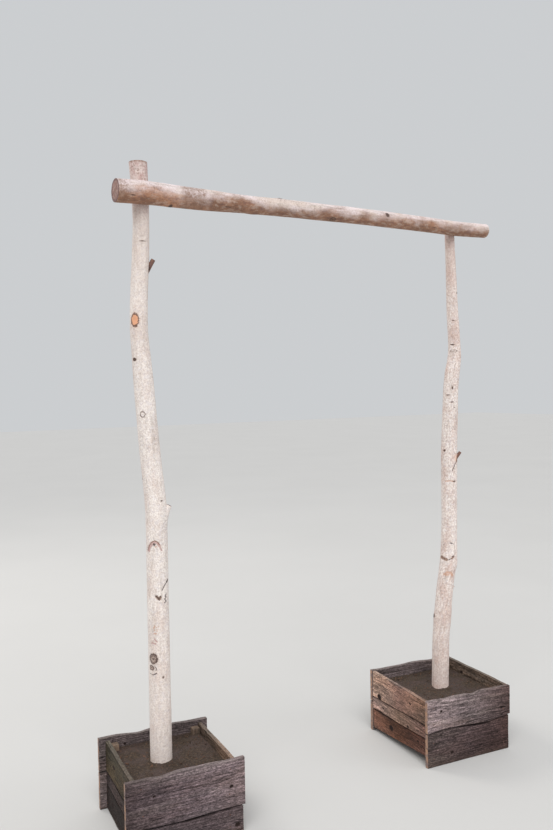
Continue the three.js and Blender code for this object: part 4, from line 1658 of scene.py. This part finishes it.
def scatter_crumbs(name, soil, box, post_middle, material):
    """Loose crumbs and chips that lie on the soil of one box."""
    draw = random.Random(len(name))
    half_length, half_depth = box.bed
    made = []
    for i in range(CRUMBS):
        spot = Vector((draw.uniform(-1, 1) * (half_length - CRUMB_TO_EDGE),
                       draw.uniform(-1, 1) * (half_depth - CRUMB_TO_EDGE), CRUMB_DROP))
        inside = box.place @ spot
        if (inside.xy - post_middle).length < CRUMB_TO_POST:
            continue
        to_corner = max(half_length - abs(spot.x), half_depth - abs(spot.y))
        if to_corner < CRUMB_TO_CORNER:
            continue
        hit, place, *_ = soil.ray_cast(inside, (0, 0, -1))
        if hit:
            size = draw.uniform(*CRUMB_SIZES)
            turn = [draw.uniform(0, math.tau) for _ in range(3)]
            made.append(add_chip(place, size, turn, i % 3 == 0, draw, i * 0.1))
    crumbs = joined(name, made)
    dress(crumbs, material)
    smooth(crumbs, 50)
    return crumbs


# Operators.


class ArchOperator:
    """What the arch's operators share."""

    bl_options = {"REGISTER", "UNDO"}

    @staticmethod
    def settings(context):
        return context.scene.arch_sizes, context.scene.arch_colours


class ARCH_OT_crossbeam(ArchOperator, Operator):
    """Model the crossbeam with its brown underside and sawn ends"""

    bl_idname = "arch.crossbeam"
    bl_label = "Crossbeam"

    def execute(self, context):
        sizes, colours = self.settings(context)
        start = CROSSBEAM[0][0] * MM + END_MARGIN
        end = CROSSBEAM[-1][0] * MM - END_MARGIN
        line = pole_line(CROSSBEAM)
        beam = grow_pole("crossbeam_pole", line, start, end, sizes.bark_thickness)
        dress(beam, beam_material("beam bark", line, BEAM_MARKS, colours),
              sawn_end_material(colours))
        finish_bark(beam, line, BEAM_BUMPS, (), sizes, seed=11.0)
        set_down(beam, Matrix(((0, 0, 1, 0), (1, 0, 0, 0), (0, 1, 0, 0), (0, 0, 0, 1))))
        carve(beam, *[ScrewSeat.of_post(stations).hole() for stations in (LEFT_POST, RIGHT_POST)])
        store_pole_place(beam, line, lying=True)
        smooth(beam)
        hand_over(beam, "brown_bark", "crossbeam")
        return {"FINISHED"}


def saddle_tool(middle):
    """The stretch of the crossbeam at one post, a hair thicker, to cut the post's saddle."""
    beam = bpy.data.objects.get("crossbeam_pole")
    if beam is None:
        raise RuntimeError("model the crossbeam before the posts")
    tool = beam.copy()
    tool.data = beam.data.copy()
    tool.parent = None
    bpy.context.scene.collection.objects.link(tool)
    for side in (-1, 1):
        with editing(tool):
            bpy.ops.mesh.bisect(plane_co=(middle + side * SADDLE_REACH, 0, 0),
                                plane_no=(side, 0, 0), use_fill=True, clear_outer=True)
    face_outwards(tool)
    add_modifier(tool, "DISPLACE", strength=SADDLE_CLEARANCE, mid_level=0.0)
    return tool


class ARCH_OT_posts(ArchOperator, Operator):
    """Model the two posts with their stubs, knots and saddles for the crossbeam"""

    bl_idname = "arch.posts"
    bl_label = "Posts"

    def execute(self, context):
        sizes, colours = self.settings(context)
        sawn = bpy.data.materials.get("sawn pole end") or sawn_end_material(colours)
        stub_bark = stub_material(colours)
        cream = colours.cream_bark
        # Each bark's slot, its pale and its tinted colour, its cover of dashes and its specks.
        barks = {
            "left_post": ("pale_bark", cream, colours.pink_bark, 0.55, (190.0, 0.84, 0.80, 0.79)),
            "right_post": ("grey_bark", [0.96 * channel for channel in cream],
                           colours.tan_bark, 0.75, (150.0, 0.76, 0.69, 0.67)),
        }
        for name, (slot, *look) in barks.items():
            stations, stubs, bumps, marks, strokes = POSTS[name]
            line = pole_line(stations)
            top = stations[-1][0] * MM - END_MARGIN
            post = grow_pole(name + "_pole", line, POST_FOOT, top, sizes.bark_thickness)
            bark = bark_material(slot.replace("_", " "), line, marks, strokes, colours, *look)
            dress(post, bark, sawn, stub_bark)
            finish_bark(post, line, bumps, stubs, sizes, seed=len(stations) * 1.7)
            seat = ScrewSeat.of_post(stations)
            tools = (saddle_tool(seat.x),
                     seat.rod("spot", seat.flat, seat.flat + DRILL_CLEARANCE,
                              SPOT_FACE_RADIUS, 48))
            for tool in tools:
                dress(tool, bark, sawn)
                paint_faces(tool, 1)
            carve(post, *tools, seat.hole())
            store_pole_place(post, line)
            smooth(post)
            hand_over(post, slot, name)
        return {"FINISHED"}


class ARCH_OT_coach_screws(ArchOperator, Operator):
    """Model the two zinc-plated coach screws with their washers"""

    bl_idname = "arch.coach_screws"
    bl_label = "Coach Screws"

    def execute(self, context):
        _, colours = self.settings(context)
        steel = steel_material("zinc steel", colours, rust_from=0.56, rust_to=0.68)
        for side, stations in (("left", LEFT_POST), ("right", RIGHT_POST)):
            seat = ScrewSeat.of_post(stations)
            base = seat.flat + SEAT_GAP
            washer_top = base + WASHER_THICKNESS
            head_top = washer_top + HEAD_HEIGHT
            screw = seat.rod(f"{side}_coach_screw_steel", seat.point + TIP_LENGTH, washer_top,
                             SHANK_RADIUS, 32)
            with picked(screw, "FACE", lambda face: face.normal.y < -0.9):
                grow((0, -TIP_LENGTH, 0), (0.12, 1, 0.12), (seat.x, seat.point, seat.z))
            washer = seat.rod("washer", base, washer_top, WASHER_RADIUS, 64)
            head = seat.rod("head", base, head_top, HEAD_RADIUS, 6)
            carve(head, self.chamfer(seat, head_top), operation="INTERSECT")
            round_edges(washer, 0.00035, 40)
            round_edges(head, 0.0002, 40)
            carve(screw, washer, head, operation="UNION")
            dress(screw, steel)
            smooth(screw, 25)
            hand_over(screw, "zinc_steel", f"{side}_coach_screw")
        return {"FINISHED"}

    @staticmethod
    def chamfer(seat, head_top):
        """A cone that takes the corners off the top of a hexagonal head."""
        wide = CHAMFER_RADIUS + CHAMFER_HEIGHT * CHAMFER_SLOPE
        middle = (seat.x, head_top - CHAMFER_HEIGHT / 2, seat.z)
        bpy.ops.mesh.primitive_cone_add(vertices=64, radius1=wide, radius2=CHAMFER_RADIUS,
                                        depth=CHAMFER_HEIGHT, location=middle,
                                        rotation=(-math.pi / 2, 0, 0))
        return named("chamfer")


class ARCH_OT_face_boards(ArchOperator, Operator):
    """Model the weathered boards of the boxes' fronts and backs"""

    bl_idname = "arch.face_boards"
    bl_label = "Face Boards"

    def execute(self, context):
        sizes, colours = self.settings(context)
        grain = plank_material("face board", colours, colours.face_board, colours.face_dark,
                               ring_width=0.0085, edge_wear_and_highlight=0.28, warmth=0.06)
        materials = grain, end_grain_material("face board end", colours)
        cover_sides(FACES, "face_board", FACE_BOARD_THICKNESS, materials, sizes, seed=2)
        return {"FINISHED"}


class ARCH_OT_side_boards(ArchOperator, Operator):
    """Model the narrower, browner boards of the boxes' sides"""

    bl_idname = "arch.side_boards"
    bl_label = "Side Boards"

    def execute(self, context):
        sizes, colours = self.settings(context)
        grain = plank_material("side board", colours, colours.side_board, colours.side_dark,
                               ring_width=0.007, edge_wear_and_highlight=0.35, warmth=0.32)
        materials = grain, end_grain_material("side board end", colours)
        cover_sides(SIDES, "side_board", SIDE_BOARD_THICKNESS, materials, sizes, seed=21)
        return {"FINISHED"}


class ARCH_OT_inner_timber(ArchOperator, Operator):
    """Model the corner battens, floor cleats and floor panels inside the boxes"""

    bl_idname = "arch.inner_timber"
    bl_label = "Inner Timber"

    @staticmethod
    def parts(name, box):
        """The node, size, place in the box and notch of each piece; battens stand upright."""
        half_length, half_depth = box.bed
        to_side, to_face = half_length - BATTEN / 2, half_depth - BATTEN / 2
        for side, way in (("outer", box.outwards), ("inner", -box.outwards)):
            for face, along in zip(FACES, (-1, 1)):
                yield (f"{name}_{side}_{face}_batten", (BATTEN_LENGTH, BATTEN, BATTEN),
                       (way * to_side, along * to_face, BATTEN_MIDDLE), 0.0)
        for face, along in zip(FACES, (-1, 1)):
            yield (f"{name}_{face}_floor_cleat",
                   (2 * (half_length - BATTEN - SEAT_GAP), BATTEN, CLEAT_HEIGHT),
                   (0, along * to_face, CLEAT_MIDDLE), 0.0)
        yield (f"{name}_floor_panel", (2 * half_length, 2 * half_depth, FLOOR_TO - FLOOR_FROM),
               (0, 0, (FLOOR_FROM + FLOOR_TO) / 2), BATTEN + SEAT_GAP)

    def execute(self, context):
        sizes, colours = self.settings(context)
        material = timber_material(colours)
        upright = Matrix.Rotation(-math.pi / 2, 4, "Y")
        seed = 40
        for name, box in BOXES.items():
            for node, size, spot, notch in self.parts(name, box):
                place = box.place @ Matrix.Translation(spot)
                if node.endswith("batten"):
                    place = place @ upright
                timber_piece(node, size, place, material, sizes, seed, notch)
                seed += 1
        return {"FINISHED"}


class ARCH_OT_soil(ArchOperator, Operator):
    """Model the soil in the boxes with its clods, crumbs and bark chips"""

    bl_idname = "arch.soil"
    bl_label = "Soil"

    def execute(self, context):
        sizes, colours = self.settings(context)
        material = soil_material(colours)
        chips = chip_material(colours)
        for (name, box), stations in zip(BOXES.items(), (LEFT_POST, RIGHT_POST)):
            line = pole_line(stations)
            soil = earth_block(name + "_earth", box, line, sizes)
            notches = [batten_notch(box, x, y) for x in (-1, 1) for y in (-1, 1)]
            bore = grow_rod("bore", line, BORE_HEIGHTS, 64, gap=BORE_MARGIN)
            carve(soil, *notches, bore)
            dress(soil, material)
            smooth(soil, 60)
            hand_over(soil, "soil", name + "_soil")
            crumbs = scatter_crumbs(name + "_crumbs", soil, box, line(SOIL_TOP).xy, chips)
            hand_over(crumbs, "soil")
        return {"FINISHED"}


class ARCH_OT_nails(ArchOperator, Operator):
    """Model the rusty nails that hold the boards to the corner battens"""

    bl_idname = "arch.nails"
    bl_label = "Nails"

    @staticmethod
    def skin(box, side, spot):
        """The nearest place on the worn boards of one side of a box."""
        boards = [obj for obj in bpy.data.objects if obj.name.startswith(f"{box}_{side}_")
                  and obj.name.endswith("_plank")]
        if not boards:
            raise RuntimeError("model the boards before the nails")
        places = [board.closest_point_on_mesh(spot)[1] for board in boards]
        return min(places, key=lambda place: (place - spot).length)

    def nail(self, box, side, x, z, radius):
        """One nail's head, sunk into the board that it holds."""
        place = board_place(box, side)
        thickness = FACE_BOARD_THICKNESS if side in FACES else SIDE_BOARD_THICKNESS
        y = (place.inverted() @ self.skin(box, side, place @ Vector((x, -thickness, z)))).y
        head = add_rod("nail", (x, y - NAIL_PROUD, z), (x, y + NAIL_DEPTH, z), radius, 12)
        with picked(head, "FACE", lambda face: face.normal.y < -0.9):
            bpy.ops.mesh.inset(thickness=radius * 0.35, depth=NAIL_PROUD)
        set_down(head, place)
        return head

    def execute(self, context):
        sizes, colours = self.settings(context)
        material = steel_material("rusty nails", colours, rust_from=0.30, rust_to=0.42)
        for name, box in BOXES.items():
            made = []
            draw = random.Random(len(name) * 5)
            for side in FACES + SIDES:
                reach = box.bed[0 if side in FACES else 1] - BATTEN / 2
                for height in NAIL_HEIGHTS[f"{name}_{side}"]:
                    for way in (-1, 1):
                        x = way * reach + draw.uniform(-4, 4) * MM
                        z = (height + draw.uniform(-4, 4)) * MM
                        made.append(self.nail(name, side, x, z, sizes.nail_head))
            nails = joined(name + "_nails", made)
            dress(nails, material)
            smooth(nails, 30)
            hand_over(nails, "zinc_steel")
        return {"FINISHED"}


class ARCH_OT_studio(ArchOperator, Operator):
    """Set the pale floor, the soft lights and the camera"""

    bl_idname = "arch.studio"
    bl_label = "Studio"

    @staticmethod
    def floor(studio):
        bpy.ops.mesh.primitive_plane_add(size=60, location=(0, 0, 0))
        floor = named("studio_floor")
        shade = MaterialShade("studio floor", studio.floor_colour, 0.9)
        place = shade.place()
        darker = [0.93 * channel for channel in studio.floor_colour]
        colour = shade.mix(place.noise(0.8, 4.0), darker, studio.floor_colour)
        grain = place.noise(160.0)
        dress(floor, shade.finish(colour, grain * 0.1 + 0.82, grain, 0.0004))
        floor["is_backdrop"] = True

    @staticmethod
    def light(kind, name, place, way, power, **settings):
        """A light whose beam runs along a way."""
        bpy.ops.object.light_add(type=kind, location=place)
        light = bpy.context.object
        light.name = name
        light.rotation_euler = Vector(way).to_track_quat("-Z", "Y").to_euler()
        light.data.energy = power
        for setting, value in settings.items():
            setattr(light.data, setting, value)

    @staticmethod
    def room(scene, studio):
        world = bpy.data.worlds.new("studio room")
        world.use_nodes = True
        background = world.node_tree.nodes["Background"]
        background.inputs["Color"].default_value = (*studio.room_colour, 1.0)
        background.inputs["Strength"].default_value = studio.sky_strength
        scene.world = world
        scene.view_settings.view_transform = "Standard"

    @staticmethod
    def camera(scene, studio):
        bpy.ops.object.camera_add(location=studio.camera_place)
        camera = bpy.context.object
        yaw, pitch, roll = studio.camera_turn
        camera.rotation_euler = (Matrix.Rotation(-yaw, 3, "Z")
                                 @ Matrix.Rotation(math.pi / 2 + pitch, 3, "X")
                                 @ Matrix.Rotation(roll, 3, "Z")).to_euler()
        camera.data.lens = studio.lens
        camera.data.sensor_width = 36
        camera.data.clip_end = 200
        scene.camera = camera

    def execute(self, context):
        studio = context.scene.arch_studio
        self.floor(studio)
        for name, place, size, power, colour in (
                ("fill", (5.2, -4.8, 2.8), 3.6, studio.fill_power, (0.95, 0.97, 1.0)),
                ("rim", (-2.6, 4.6, 5.0), 2.4, studio.rim_power, (1.0, 0.96, 0.90))):
            self.light("AREA", name, place, Vector((0, 0, 1)) - Vector(place), power,
                       shape="DISK", size=size, color=colour)
        self.light("SUN", "key", (0, 0, 6), (0.40, 0.70, -0.90), studio.sun_strength,
                   angle=math.radians(50))
        self.room(context.scene, studio)
        self.camera(context.scene, studio)
        return {"FINISHED"}


class ARCH_PT_sidebar(Panel):
    """The arch's pieces and settings."""

    bl_label = "Rustic Garden Arch"
    bl_idname = "ARCH_PT_sidebar"
    bl_space_type = "VIEW_3D"
    bl_region_type = "UI"
    bl_category = "Arch"

    def draw(self, context):
        column = self.layout.column()
        for operator in OPERATORS:
            column.operator(operator.bl_idname)
        for name in SETTINGS:
            settings = getattr(context.scene, name)
            box = self.layout.box()
            for setting in settings.bl_rna.properties.keys():
                if setting not in ("rna_type", "name"):
                    box.prop(settings, setting)


SETTINGS = {"arch_sizes": ArchSizes, "arch_colours": ArchColours, "arch_studio": ArchStudio}
OPERATORS = (
    ARCH_OT_crossbeam,
    ARCH_OT_posts,
    ARCH_OT_coach_screws,
    ARCH_OT_face_boards,
    ARCH_OT_side_boards,
    ARCH_OT_inner_timber,
    ARCH_OT_soil,
    ARCH_OT_nails,
    ARCH_OT_studio,
)
CLASSES = (*SETTINGS.values(), *OPERATORS, ARCH_PT_sidebar)


def register():
    for cls in CLASSES:
        bpy.utils.register_class(cls)
    for name, group in SETTINGS.items():
        setattr(bpy.types.Scene, name, PointerProperty(type=group))


def unregister():
    for name in SETTINGS:
        delattr(bpy.types.Scene, name)
    for cls in reversed(CLASSES):
        bpy.utils.unregister_class(cls)


def main():
    register()
    bpy.ops.arch.crossbeam()
    bpy.ops.arch.posts()
    bpy.ops.arch.coach_screws()
    bpy.ops.arch.face_boards()
    bpy.ops.arch.side_boards()
    bpy.ops.arch.inner_timber()
    bpy.ops.arch.soil()
    bpy.ops.arch.nails()
    bpy.ops.arch.studio()
    boxes = {"cad": CAD_BOX, "visual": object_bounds()}
    {name: [list(corner) for corner in box] for name, box in boxes.items()}


if __name__ == "__main__":
    main()
